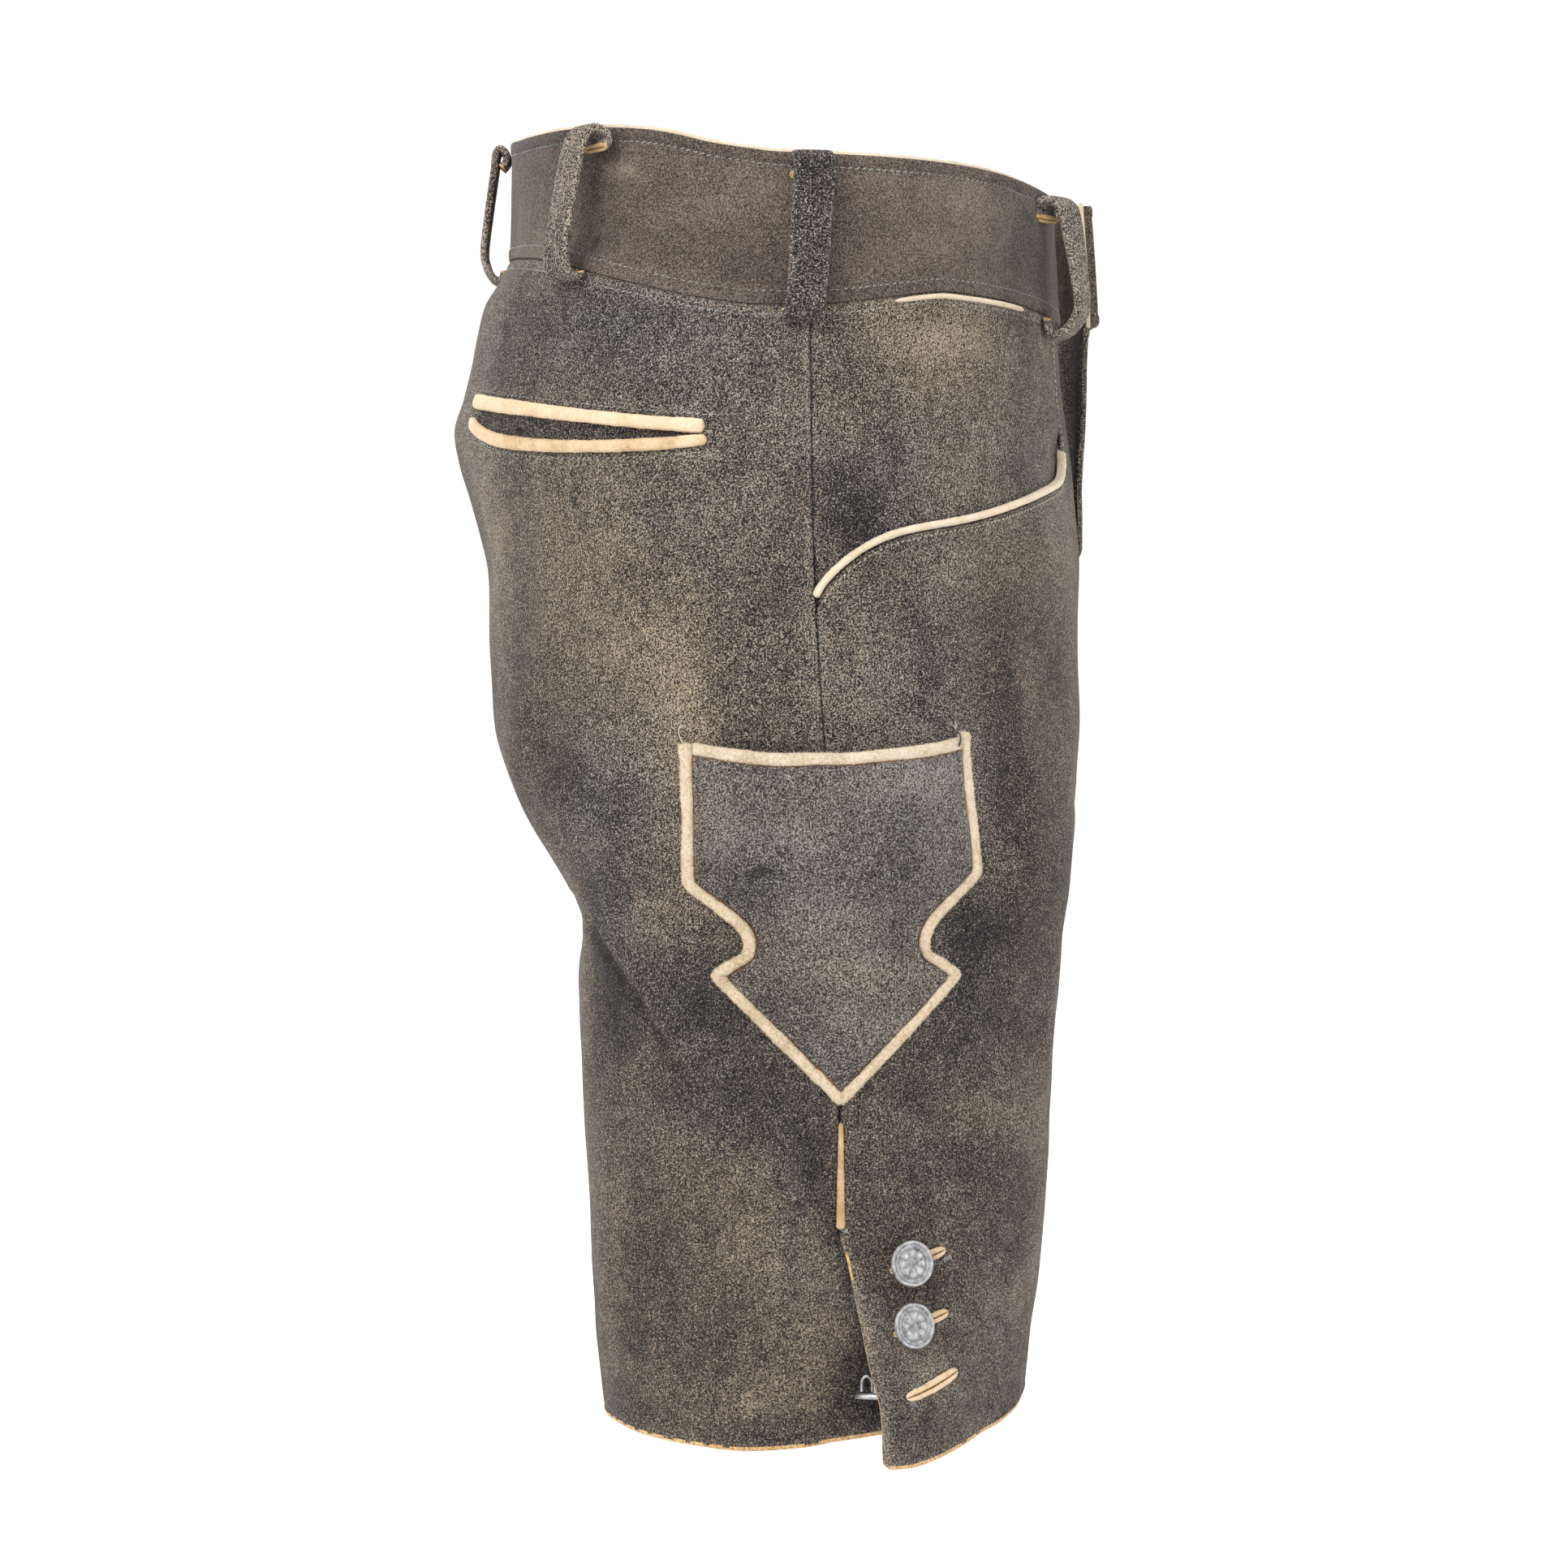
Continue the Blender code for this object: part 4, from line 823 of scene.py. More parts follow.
def makeHip():
    gap = leather["seamGap"]
    down = edged(hipCut["tall"], hipCut["step"], nearEdge)[:, None] / hipCut["tall"]
    share = edged(hipCut["wide"], hipCut["step"], plainEdge)[None, :] / hipCut["wide"]
    height = -80.0 + 0 * down * share
    for _ in range(4):
        end = distanceOf(pocketScoop["hipSeam"], height) - gap / 2
        distance = gap / 2 + (end - gap / 2) * share
        angle = angleOf(distance, height)
        top = through(waistSeam, "height", angle) - gap / 2
        edge = through(pocketScoop, "height", np.minimum(angle, 70.0), by="angle")
        height = top + (edge - pocketScoop["tuck"] - top) * down
    out = leather["tucked"] * ease(edge + 24, edge + 11, height)
    lift = turnedEdge(top - height, stitches["edge"]) + turnedEdge(distance - gap / 2)
    lift += turnedEdge(end - distance)
    worn = 0.7 * bump(top - height, 3.5) + 0.3 * bump(distance, 3.5)
    # the seam term is painted shade in the hip's seam groove
    marks = leatherMarks(distance, height, worn, cloudAndShadeTone(distance, height) + paintedSeamShade(distance))
    outer = skin(angle, height, out + lift)
    inner = skin(angle, height, out - leather["wall"])
    for left, side, ending in sides:
        piece = makeShell(f"hip{ending}", outer, inner,
                          ("suede", "fleshSide", "suedeEdge", "suedeEdge"), marks, left)
        settle(piece, f"hip_{side}")


band = {"lift": 1.2, "overlap": 30.0, "step": 3.3, "rise": 1.6, "topStitch": 5.2,
        "seamStitch": 5.0, "length": 455.0, "height": 55.0, "lapExtra": 1.6, "lapRise": (-26.0, -2.0)}


def bandOut(left, past, height, out):
    # how far the waistband stands over the skin: more where the left one laps over
    out = out + 0 * height
    if left:
        out = out + lapLift(past, height, band["overlap"], band["lapExtra"], band["lapRise"])
    return out


def bandGrid(left, out, rise):
    up = edged(band["height"], 3.0, nearEdge)[:, None] / band["height"]
    around = edged(band["length"], band["step"], plainEdge)[None, :] / band["length"]
    height = -10.0 + 0 * up * around
    for _ in range(4):
        start = distanceOf(-centreAngle(height), height)
        centre = distanceOf(centreAngle(height), height)
        end = centre + (band["overlap"] if left else -2.0)
        distance = start + (end - start) * around
        angle = angleOf(distance, height)
        bottom = through(waistSeam, "height", angle) + leather["seamGap"] / 2
        top = through(waistTop, "height", angle) + rise
        height = bottom + (top - bottom) * up
    angle[:, 0] = -centreAngle(height[:, 0])
    out = bandOut(left, distance - centre, height, out)
    return distance, height, angle, out, bottom, top - height, end - distance


def makeBand(left, side, ending):
    distance, height, angle, out, bottom, fromTop, fromEnd = bandGrid(left, band["lift"], 0.0)
    fromSeam = height - bottom
    lift = cutEdge(fromTop) + 0.35 * ease(band["topStitch"] + 1.6, band["topStitch"] - 1, fromTop)
    lift -= 0.4 * bump(fromTop - band["topStitch"], 0.7)
    lift += turnedEdge(fromSeam, band["seamStitch"]) + cutEdge(fromEnd)
    lift += turnedEdge(np.abs(distance - distance[:, :1])) * 0.8
    if left:
        lift += 1.3 * ease(9, 2.5, fromEnd) - 0.35 * bump(fromEnd - band["topStitch"], 0.7)
    worn = 0.45 * bump(fromTop, 3.0) + 0.6 * bump(fromSeam, 5.0) + 0.3 * bump(fromEnd, 3.0)
    tone = bandTone(distance, height, bottom) - 0.5 * ease(6.4, 4.2, fromTop)
    marks = leatherMarks(distance, height, worn, tone - 0.25 * ease(5.6, 3.8, fromSeam))
    piece = makeShell(f"waistband{ending}", skin(angle, height, out + lift),
                      skin(angle, height, out - leather["wall"]),
                      ("bandSuede", "fleshSide", "bandSuede"), marks, left, turned=True)
    settle(piece, f"waistband_{side}")


def makeFacing(left, side, ending):
    under = band["lift"] - leather["wall"] - leather["seamGap"]
    distance, height, angle, out, _, fromTop, fromEnd = bandGrid(left, under, band["rise"])
    marks = {"worn": 0.5 * bump(fromTop, 3.0), "tone": 0.4 * np.sin(distance * 0.05)}
    paint = []
    if left:
        # behind the lap the facing is painted with the dark flesh side and darkened towards the lap:
        # painted shade for the gap under the lap
        past = pastCentre(distance, height)
        paintedLapShade = ease(-46, -26, past) * ease(1, 3, fromTop) * ease(5, 9, fromEnd)
        marks["tone"] = marks["tone"] - 3.6 * paintedLapShade
        inside = quadMiddles(past).mean(axis=0)[None, :] > -34
        inside = inside & (quadMiddles(fromEnd) > 6.5) & (quadMiddles(fromTop) > 2.0)
        paint = [(inside, 3, (0, 1))]
    height = height + 0.12 * np.sin(distance * 1.7) * np.sin(distance * 0.53) * bump(fromTop, 2.0)
    rim = 0.35 * bump(fromTop, 0.5)
    piece = makeShell(f"waistbandFacing{ending}", skin(angle, height, out - rim),
                      skin(angle, height, out - leather["facing"] + rim),
                      ("paleLeather", "paleLeather", "paleLeather", "fleshSide"), marks, left,
                      turned=True, paint=paint)
    settle(piece, f"waistband_facing_{side}")


def makeWaistband():
    for left, side, ending in sides:
        makeBand(left, side, ending)
        makeFacing(left, side, ending)


bandClouds = (
    # from the side seam, height, reach across, reach up, tone
    (116, -14, 14, 12, -0.6), (74, 0, 20, 12, 0.8), (25, -14, 18, 10, -0.35),
    (-76.7, 8, 7, 3.4, 1.3), (-60, -10, 18, 8, 0.25), (-120, -10, 12, 14, -0.3),
)


def bandTone(distance, height, bottom):
    # the band is browner and smoother than the panels, with a few long clouds and a pale patch
    tone = 0.25 * np.sin(distance * 0.021 + 1.1) * np.cos(height * 0.07 + distance * 0.01)
    tone = tone + 0.25 * bump(height - bottom - 16, 9) * np.sin(distance * 0.035)
    return blots(bandClouds, distance, height, tone)


# The belt loops. For each: the angle it is sewn at, how far it stands off, how much lower its top
# is, its turn to the back at its top and foot, its width, how far its raw end and its foot lean to
# the back, how much further its lower part stands off, how deep its foot sags, and its tone.
loops = {
    "centre_back": {"angle": -90.0, "standOff": 6.6, "drop": -0.6, "turn": (0, 0), "width": 15.5,
                    "lean": (0, 0), "flare": 0.4, "sag": 1.8, "tone": 0.15},
    "back": {"angle": -37.5, "standOff": 9.2, "drop": 0.0, "turn": (8, 4), "width": 15.5,
             "lean": (-6.8, -2.6), "flare": 0.0, "sag": 0.0, "tone": 0.4},
    "side": {"angle": 4.3, "standOff": 9.0, "drop": 0.0, "turn": (0, 0), "width": 15.8,
             "lean": (1.6, -1.6), "flare": 0.0, "sag": 1.8, "tone": -0.85},
    "front": {"angle": 66.5, "standOff": 11.0, "drop": 2.6, "turn": (26, -4), "width": 15.5,
              "lean": (5.5, 0), "flare": 0.35, "sag": 4.4, "tone": 0.6},
    "thick": 3.4,
}


def smoothPath(points, count):
    # a rounded path through control points, evenly spaced: a chain of cubic pieces
    points = np.array(points, float)
    ends = np.concatenate([2 * points[:1] - points[1:2], points, 2 * points[-1:] - points[-2:-1]])
    fine = []
    for k in range(len(points) - 1):
        a, b, c, d = ends[k:k + 4]
        for u in np.linspace(0, 1, 12, endpoint=False):
            fine.append(0.5 * (2 * b + (c - a) * u + (2 * a - 5 * b + 4 * c - d) * u * u
                               + (3 * b - a - 3 * c + d) * u ** 3))
    return resample(np.array(fine + [points[-1]]), count=count)


def loopPath(loop, left):
    # the strap's middle line: how far out, and how high, from its raw end over the top to its foot
    top = float(through(waistTop, "height", loop["angle"])) - loop["drop"]
    seam = float(through(waistSeam, "height", loop["angle"]))
    foot = seam - loop["sag"]
    low = leather["laid"] + loops["thick"] / 2
    sewn = band["lift"] + low
    low += 2.6 if loop["angle"] > 50 and left else 0.4
    near, middle, far = (sewn + loop["standOff"] * (1 + share * loop["flare"] / 2)
                         for share in (-1, 0, 1))
    path = smoothPath((
        (sewn + 2.4, top - 9.4), (sewn + 0.8, top - 7.6), (sewn + 0.1, top - 5.6),
        (sewn * 0.8 + near * 0.2, top - 2.8), (sewn * 0.4 + near * 0.6, top - 1.5),
        (sewn * 0.1 + near * 0.9, top - 4.2), (near, top - 11.0), (middle, (top + seam) / 2),
        (far, foot + 9.0), (sewn * 0.16 + far * 0.84, foot + 2.0),
        (sewn * 0.5 + far * 0.5, foot - 3.0), (low * 0.84 + far * 0.16, foot - 4.4),
        (low, seam - 3.8), (low, seam - 2.2),
    ), 96)
    return top, seam, path


def loopSections(loop, left):
    top, seam, path = loopPath(loop, left)
    angle = loop["angle"]
    ends = skinPoint(np.array([angle, angle]), np.array([top - 8.0, seam - 3.0]))
    normal = normalAt(np.array(angle), np.array(seam + 20.0))
    facing = math.atan2(normal[1], normal[0])
    down = np.clip((ends[0, 2] - path[:, 1]) / (ends[0, 2] - ends[1, 2]), 0, 1)
    base = ends[:1] * (1 - down[:, None]) + ends[1:] * down[:, None]
    base[:, 2] = path[:, 1]
    share = np.linspace(0, 1, len(path))
    turn = facing - np.radians(loop["turn"][0] * (1 - share) + loop["turn"][1] * share)
    strap = np.stack([np.cos(turn), np.sin(turn), 0 * share], axis=1)
    tangent = np.stack([np.sin(turn), -np.cos(turn), 0 * share], axis=1)
    normal = np.array([math.cos(facing), math.sin(facing), 0.0])
    turns = np.linspace(0, 2 * math.pi, 29)[:-1]
    across = loop["width"] / 2 * rounded(np.cos(turns), 0.34)
    level = loops["thick"] / 2 * rounded(np.sin(turns), 0.62)
    run = unit(np.gradient(path, axis=0))
    outward = strap * -run[:, 1:] + np.array([[0, 0, 1.0]]) * run[:, :1]
    wide = 1 + 0.015 * np.sin(share * 17 + angle) + 0.02 * np.sin(share * 7)
    slip = loop["lean"][0] * ease(0.3, 0.04, share) + loop["lean"][1] * ease(0.2, 0.95, share)
    slip = slip + 0.15 * np.sin(share * 9 + angle)
    aside = (across * wide[:, None] + slip[:, None])[..., None]
    middle = (base + normal * path[:, :1])[:, None]
    return middle + tangent[:, None] * aside + outward[:, None] * level[:, None], share, across


def makeBeltLoop(name, node, loop, left=False):
    sections, share, across = loopSections(loop, left)
    # the raw end shows its two layers: the last section closes to a thin dark slit
    first = sections[0]
    middle = first.mean(axis=0)
    inward = unit(sections[2].mean(axis=0) - middle)
    slit = first * 0.16 + (first + first[-np.arange(28)]) / 2 * 0.84
    slit = middle + (slit - middle) * 0.86
    sections = np.concatenate([[slit + inward * 1.4], [slit], sections])
    rows, columns = sections.shape[:2]
    slots = np.zeros((rows - 1, columns), int)
    slots[0] = 2
    slots[[1, 2, -1]] = 1
    share = np.array([0, 0, *share])[:, None]
    edge = bump(np.abs(across) - loop["width"] / 2, 1.2) + 0 * share
    worn = 0.75 * edge + 0.3 * bump(share - 0.14, 0.06) + bump(share, 0.03)
    tone = loop["tone"] + 0.3 * np.sin(share * 5 + loop["angle"]) + 0 * edge
    marks = {"worn": worn.ravel(), "tone": tone.ravel(),
             "cool": np.full(rows * columns, 0.12 - 0.15 * loop["tone"])}
    piece = makeTube(name, sections, ("loopSuede", "cutLeather", "darkCore"), left,
                     slots.ravel().tolist() + [2, 1], marks)
    settle(piece, node)


def makeBeltLoops():
    makeBeltLoop("beltLoopCentreBack", "belt_loop_centre_back", loops["centre_back"])
    for left, side, ending in sides:
        for kind in ("back", "side", "front"):
            makeBeltLoop(f"beltLoop{kind.capitalize()}{ending}", f"belt_loop_{kind}_{side}",
                         loops[kind], left)


# The leg pocket, a shield about the side seam: half its width at each height, its corners kept.
shield = {
    "height": (-212.5, -238, -263.5, -267.2, -270, -276, -282, -286.4, -291, -294.4, -297,
               -303.1, -328.5, -354.2),
    "half": (57.4, 57.8, 59.0, 58.4, 56.4, 49, 41.6, 37.4, 35.6, 36.4, 40.6, 49.8, 25, 0),
    "tilt": 0.038, "lean": 0.024, "mouth": -219.5, "dip": 4.6, "rearRise": 2.0,
    "leather": 1.8, "edging": 4.6, "edgingThick": 2.9, "binding": 4.8, "under": 0.6, "stitch": 2.6,
}
shieldGapes = {"height": (-205, -250, -290, -320, -340), "depth": (9.5, 9.0, 6.0, 2.2, 0.0)}
shieldClouds = (
    # from the side seam, height, reach across, reach up, tone
    (6, -302, 34, 7, 0.5), (26, -246, 12, 16, -0.45), (10, -231, 34, 6, 0.3),
    (-20, -262, 22, 8, -0.4), (-30, -272, 16, 9, -0.5), (20, -268, 20, 9, -0.35),
    (-4, -284, 18, 7, 0.15), (12, -318, 22, 12, 0.3), (-14, -336, 8, 8, -0.2),
    (-40, -244, 8, 14, 0.3), (40, -262, 8, 14, 0.2), (-10, -246, 10, 8, 0.2),
    (30, -232, 18, 8, 0.2), (0, -325, 20, 14, 0.15),
)


def leftward(path):
    # the way to the left of a path of (x, y) at its points, shorter where it turns
    run = unit(np.diff(path, axis=0))
    side = pairs(-run[:, 1], run[:, 0])
    return (np.concatenate([side[:1], side]) + np.concatenate([side, side[-1:]])) / 2


def inset(path, amount):
    # a path moved to its right, its corners mitred
    side = leftward(path)
    return path - side * (amount / (side ** 2).sum(axis=1, keepdims=True))


def shieldOutline(amount):
    # the front half of the pocket's outline, set in by an amount: rounded at its shoulder and
    # waist, sharp at its barb and tip
    front = pairs(shield["half"], shield["height"])
    around = inset(bothSides(front), amount)[:len(front)]
    lower = around[11] + (around[13] - around[11]) * np.linspace(0, 1, 26)[1:, None]
    return np.concatenate([smoothPath(around[:12], 60), lower])


def bothSides(front):
    return np.concatenate([front, front[-2::-1] * [-1, 1]])


def shieldPlace(x, height):
    lean = shield["lean"] * np.maximum(height + 305, 0)
    return x + lean, height + shield["tilt"] * x * ease(-312, -268, height)


def shieldGape(share, height):
    depth = through(shieldGapes, "depth", height)
    return depth * (1 - np.minimum(np.abs(share), 1.0) ** 2.2) ** 1.3


def shieldDip(share, height):
    dip = shield["dip"] * (1 - share * share) - shield["rearRise"] * ((1 - share) / 2) ** 2
    return dip * ease(-262, shield["mouth"], height)


def makeLegPocket():
    outline = shieldOutline(shield["edging"] + leather["seamGap"])
    order = np.argsort(outline[:, 1])
    heights, halves = outline[order, 1], np.maximum(outline[order, 0], 0.4)
    near = (0.0, 0.35, 0.9, 1.7, 2.6, 3.6)
    levels = shield["mouth"] - edged(shield["mouth"] - heights[0], 1.7, near)[:, None]
    share = (2 * edged(110.0, 2.2, near) / 110.0 - 1)[None, :]
    across = share * np.interp(levels, heights, halves)
    height = levels - shieldDip(share, levels)
    distance, up = shieldPlace(across, height)
    # how far each point lies from the pocket's edge, the mouth apart
    spots = np.concatenate([outline, outline * [-1, 1]])
    gaps = np.hypot(across[..., None] - spots[:, 0], (levels + 0 * share)[..., None] - spots[:, 1])
    fromEdge = gaps.min(axis=-1)
    fromMouth = shield["mouth"] - levels + 0 * share
    lift = -0.75 * bump(fromEdge, 0.8) - 0.4 * bump(fromEdge - shield["stitch"], 0.75)
    lift += 0.25 * ease(5.5, 2.6, fromEdge) - 0.5 * bump(fromMouth, 0.8)
    lift = lift + 0.5 * np.sin(distance * 0.11 + 1) * np.sin(up * 0.08) * ease(4, 16, fromEdge)
    worn = 0.35 * bump(fromEdge, 2.5) + 0.2 * bump(fromMouth, 3)
    tone = 0.15 * np.sin(distance * 0.06 + 2) * np.cos(up * 0.05 + 1)
    tone = blots(shieldClouds, distance, up, tone)
    marks = {**leatherMarks(distance, up, worn, tone), "cool": 0.3 - 0.5 * tone}
    base = shield["under"] + shieldGape(share, height)
    outer = onSkin(distance, up, base + shield["leather"] + lift)
    inner = onSkin(distance, up, base)
    # the leather's rim at the edging and the mouth takes the dark tan core: partly its cut edge, partly
    # painted shade where the edging and binding meet it, wider at the rear
    rear = quadMiddles(share + 0 * height) < 0.1
    rim = (quadMiddles(fromEdge) < np.where(rear, 0.9, 0.45)) | (quadMiddles(fromMouth) < 0.4)
    for left, side, ending in sides:
        piece = makeShell(f"legPocket{ending}", outer, inner,
                          ("pocketSuede", "fleshSide", "tanCore"), marks, left,
                          paint=[(rim, 2, (0,))])
        settle(piece, f"leg_pocket_{side}")


def halfRound(count, power=0.8):
    # a strip's section, from one foot over its crown to the other: places across, and how high
    turns = np.linspace(0, math.pi, count)
    return pairs(rounded(np.cos(turns), power), np.sin(turns) ** power)


def stripSections(path, half, low, high, lift, mitred, profile):
    # sections of a strip that follows a path of (distance, height) on the skin
    side = leftward(path)
    size = np.linalg.norm(side, axis=1)
    reach = half / (size * size if mitred else size)
    flat = path[:, None] + side[:, None] * (profile[:, 0] * reach[:, None])[..., None]
    out = low + (high - low)[:, None] * profile[:, 1] + (lift + 0 * size)[:, None]
    return onSkin(flat[..., 0], flat[..., 1], out)


def uneven(run, seed, size):
    # a slow wander along a strip, the same every time
    chance = np.random.default_rng(seed)
    wander = 0 * run
    for wave in (2.9, 5.3, 9.7, 17.0, 31.0):
        strength = chance.uniform(0.5, 1)
        wander = wander + strength * np.sin(run * 2 * math.pi / wave + chance.uniform(0, 6.3))
    return 1 + size * wander / 2.2


def blunt(run, first, last):
    # how a strip's width and height fall at its two ends
    away = np.minimum(run / first, (run[-1] - run) / last)
    return np.sqrt(np.clip(1 - (1 - np.clip(away, 0, 1)) ** 2, 0.02, 1))


def trimPiece(name, node, path, half, low, thick, left, lift=0.0, mitred=False,
              slot="paleLeather", seed=1, rough=0.05, tip=(1.2, 1.2), profile=halfRound(11), tone=0.0):
    # tip: how far the strip tapers at its two ends
    run = runLength(path)
    ends = blunt(run, *tip)
    half = half * uneven(run, seed, rough) * ends
    high = low + thick * uneven(run, seed + 9, rough) * ends
    sections = stripSections(path, half, low, high, lift, mitred, profile)
    marks = {"worn": np.repeat(0.5 * np.sin(run * 0.4 + seed), sections.shape[1]),
             "tone": np.full(sections.shape[0] * sections.shape[1], tone)}
    settle(makeTube(name, sections, (slot,), left, None, marks, sharp=60), node)


def edgingPath():
    path = resample(bothSides(shieldOutline(shield["edging"] / 2)), 0.45)
    path = resample(smoothed(path, 6), 0.7)
    return pairs(*shieldPlace(path[:, 0], path[:, 1]))


def mouthPath():
    reach = shieldOutline(shield["edging"] + leather["seamGap"])[0][0]
    share = np.linspace(-1, 1, 150)
    lower = shield["mouth"] - shieldDip(share, shield["mouth"] + 0 * share)
    middle = lower + leather["seamGap"] + shield["binding"] / 2
    return pairs(*shieldPlace(share * reach, middle)), shieldGape(share, lower)


pipings = {"weltThick": 2.3, "scoopHalf": 1.5, "watchHalf": 0.95}


def weltPath(part, shift=0.0):
    angle = np.linspace(backPocket["angle"][0], backPocket["angle"][-1], 130)
    height = through(backPocket, part, angle)
    return pairs(distanceOf(angle, height), height + shift)


def weltHalf(part):
    # half of a welt's width along it: the lower one narrows where the two ends are caught together
    share = np.linspace(0, 1, 130)
    half = backPocket["welt"] / 2 * (1 - 0.06 * np.sin(share * 5))
    if part == "lower":
        half = half * (0.92 - 0.16 * ease(0.16, 0.0, share))
    return half


def scoopPath(away):
    height = np.linspace(-95.0, -160.5, 400)
    return inset(resample(pairs(frontStart(height), height), 0.7), away)


def watchPath():
    angle = np.linspace(21, 56, 90)
    height = through(waistSeam, "height", angle) - 1.9
    return pairs(distanceOf(angle, height), height)


def pocketTrims():
    # the leg pocket's trims: name, node, path, half the width, foot, thickness and look
    under = shield["under"]
    path = edgingPath()
    run = runLength(path)
    rear = ease(0.45, 0.6, run / run[-1])
    pillow = bump(run - 2.4, 2.2) + bump(run[-1] - run - 2.4, 2.2)
    half = shield["edging"] / 2 * (0.92 + 0.16 * rear + 0.28 * pillow)
    thick = shield["edgingThick"] * (0.86 + 0.14 * rear)
    yield ("legPocketEdging", "leg_pocket_edging", path, half, under, thick,
           {"mitred": True, "slot": "fuzzyLeather", "seed": 11, "rough": 0.10, "tip": (1.0, 1.0)})
    mouth, gape = mouthPath()
    yield ("legPocketBinding", "leg_pocket_binding", mouth, shield["binding"] / 2, under, 2.6,
           {"lift": gape, "slot": "bindingLeather", "seed": 21, "tip": (0.8, 0.8)})


def seamTrims():
    # the welts and the pipings, in the same order
    laid = leather["laid"]
    # tone: painted light on the upper welt, which lies in shade, and painted shade on the lower one, whose
    # crown the light from above strikes
    for part, tone in (("upper", 1.0), ("lower", -0.5)):
        yield (f"backPocketWelt{part.capitalize()}", f"back_pocket_welt_{part}", weltPath(part),
               weltHalf(part), laid, pipings["weltThick"],
               {"slot": "weltLeather", "seed": 36, "tip": (0.4, 2.8), "profile": halfRound(13, 0.7),
                "tone": tone})
    yield ("frontPocketPiping", "front_pocket_piping", scoopPath(2.1), pipings["scoopHalf"], -1.9,
           3.35, {"mitred": True, "seed": 41, "tip": (2.6, 1.0)})
    yield ("watchPocketPiping", "watch_pocket_piping", watchPath(), pipings["watchHalf"], laid, 1.6,
           {"seed": 51, "tip": (7.0, 7.0)})
    level = np.linspace(-359.4, -400.4, 60)
    half = np.interp(level, (-400, -391, -382, -374, -366, -359.6), (1.7, 1.6, 1.35, 1.2, 1.05, 0.95))
    yield ("sidePiping", "side_piping", pairs(0 * level, level), half, laid, 1.5,
           {"slot": "weltLeather", "seed": 61, "tip": (1.5, 1.5), "tone": -2.6})


def makeTrims(trims):
    for left, side, ending in sides:
        for name, node, *shape, look in trims():
            trimPiece(name + ending, f"{node}_{side}", *shape, left, **look)


def flapLift(distance, height):
    # how far the knee flap's face stands over the skin
    return frontLift(False, distance, height, 0.0)


def holeFrame(distance, height, along, across):
    right, up = slanted(along, across, -kneeHoles["slope"])
    return distance + right, height + up


def makeButtonholes():
    # a lip's section: places across, from -1 to 1, and how high they stand
    ways = np.array((-1, -0.92, -0.72, -0.42, -0.16, 0, 0.16, 0.42, 0.72, 0.92, 1, 0))
    levels = np.array((0, 0.6, 1.15, 1.25, 0.7, 0.3, 0.7, 1.25, 1.15, 0.6, 0, 0))
    share = np.linspace(-1, 1, 46)
    slots = [0, 0, 0, 0, 1, 1, 0, 0, 0, 0, 0, 0] * (len(share) - 1) + [0, 0]
    for left, side, ending in sides:
        for k, (distance, height) in enumerate(kneeHoles["places"], 1):
            width = kneeHoles["width"] / 2 * np.sqrt(np.clip(1 - share ** 6, 0.03, 1))
            width = width * uneven(share * 20, k, 0.06)
            d, z = holeFrame(distance, height, (share * kneeHoles["length"] / 2)[:, None],
                             width[:, None] * ways)
            lip = levels * uneven(share * 22, 5 + k, 0.08)[:, None]
            lip *= np.sqrt(np.clip(1 - share ** 4, 0.05, 1))[:, None]
            sections = onSkin(d, z, 2 * leather["laid"] + flapLift(d, z) + lip)
            piece = makeTube(f"kneeButtonhole{k}{ending}", sections, ("weltLeather", "darkCore"),
                             left, slots, sharp=70)
            settle(piece, f"knee_buttonhole_{k}_{side}")


button = {
    "turns": 72, "petals": 8, "beads": 36,
    "profile": (
        # radius, distance along the axis
        (0, 0.2), (2.3, 0.2), (2.3, 2.3), (4.8, 2.5), (7.4, 2.8), (8.3, 3.1), (8.65, 3.5),
        (8.7, 3.9), (8.55, 4.35), (8.2, 4.65), (7.8, 4.72), (7.45, 4.6), (7.2, 4.3), (7.0, 4.15),
        (6.7, 4.12), (6.4, 4.16), (6.0, 4.2), (5.6, 4.2), (5.2, 4.24), (4.8, 4.28), (4.4, 4.3),
        (3.9, 4.34), (3.4, 4.38), (2.9, 4.42), (2.4, 4.44), (2.0, 4.46), (1.6, 4.5), (1.1, 4.7),
        (0.5, 4.86), (0, 4.9),
    ),
    "size": 1.035, "places": ((25.0, -413.4), (24.6, -437.0)), "standOff": 3.1,
    "tilts": ((-0.1, -0.26, 0.16), (-0.1, -0.36, 0.2)),
    # the third one hangs loose
    "loose": (14.0, -460.2, 2.8), "looseAxis": (-0.16, 0.03, -1.0),
}
shank = {"turns": 4, "radius": 2.9, "from": -1.6, "to": 2.3, "thread": 0.42, "wire": 0.75}


def ring(axis, up, turn):
    # the points of a unit circle round an axis, from a turn on
    side = unit(np.cross(axis, up))
    other = np.cross(axis, side)
    return np.cos(turn)[..., None] * side + np.sin(turn)[..., None] * other


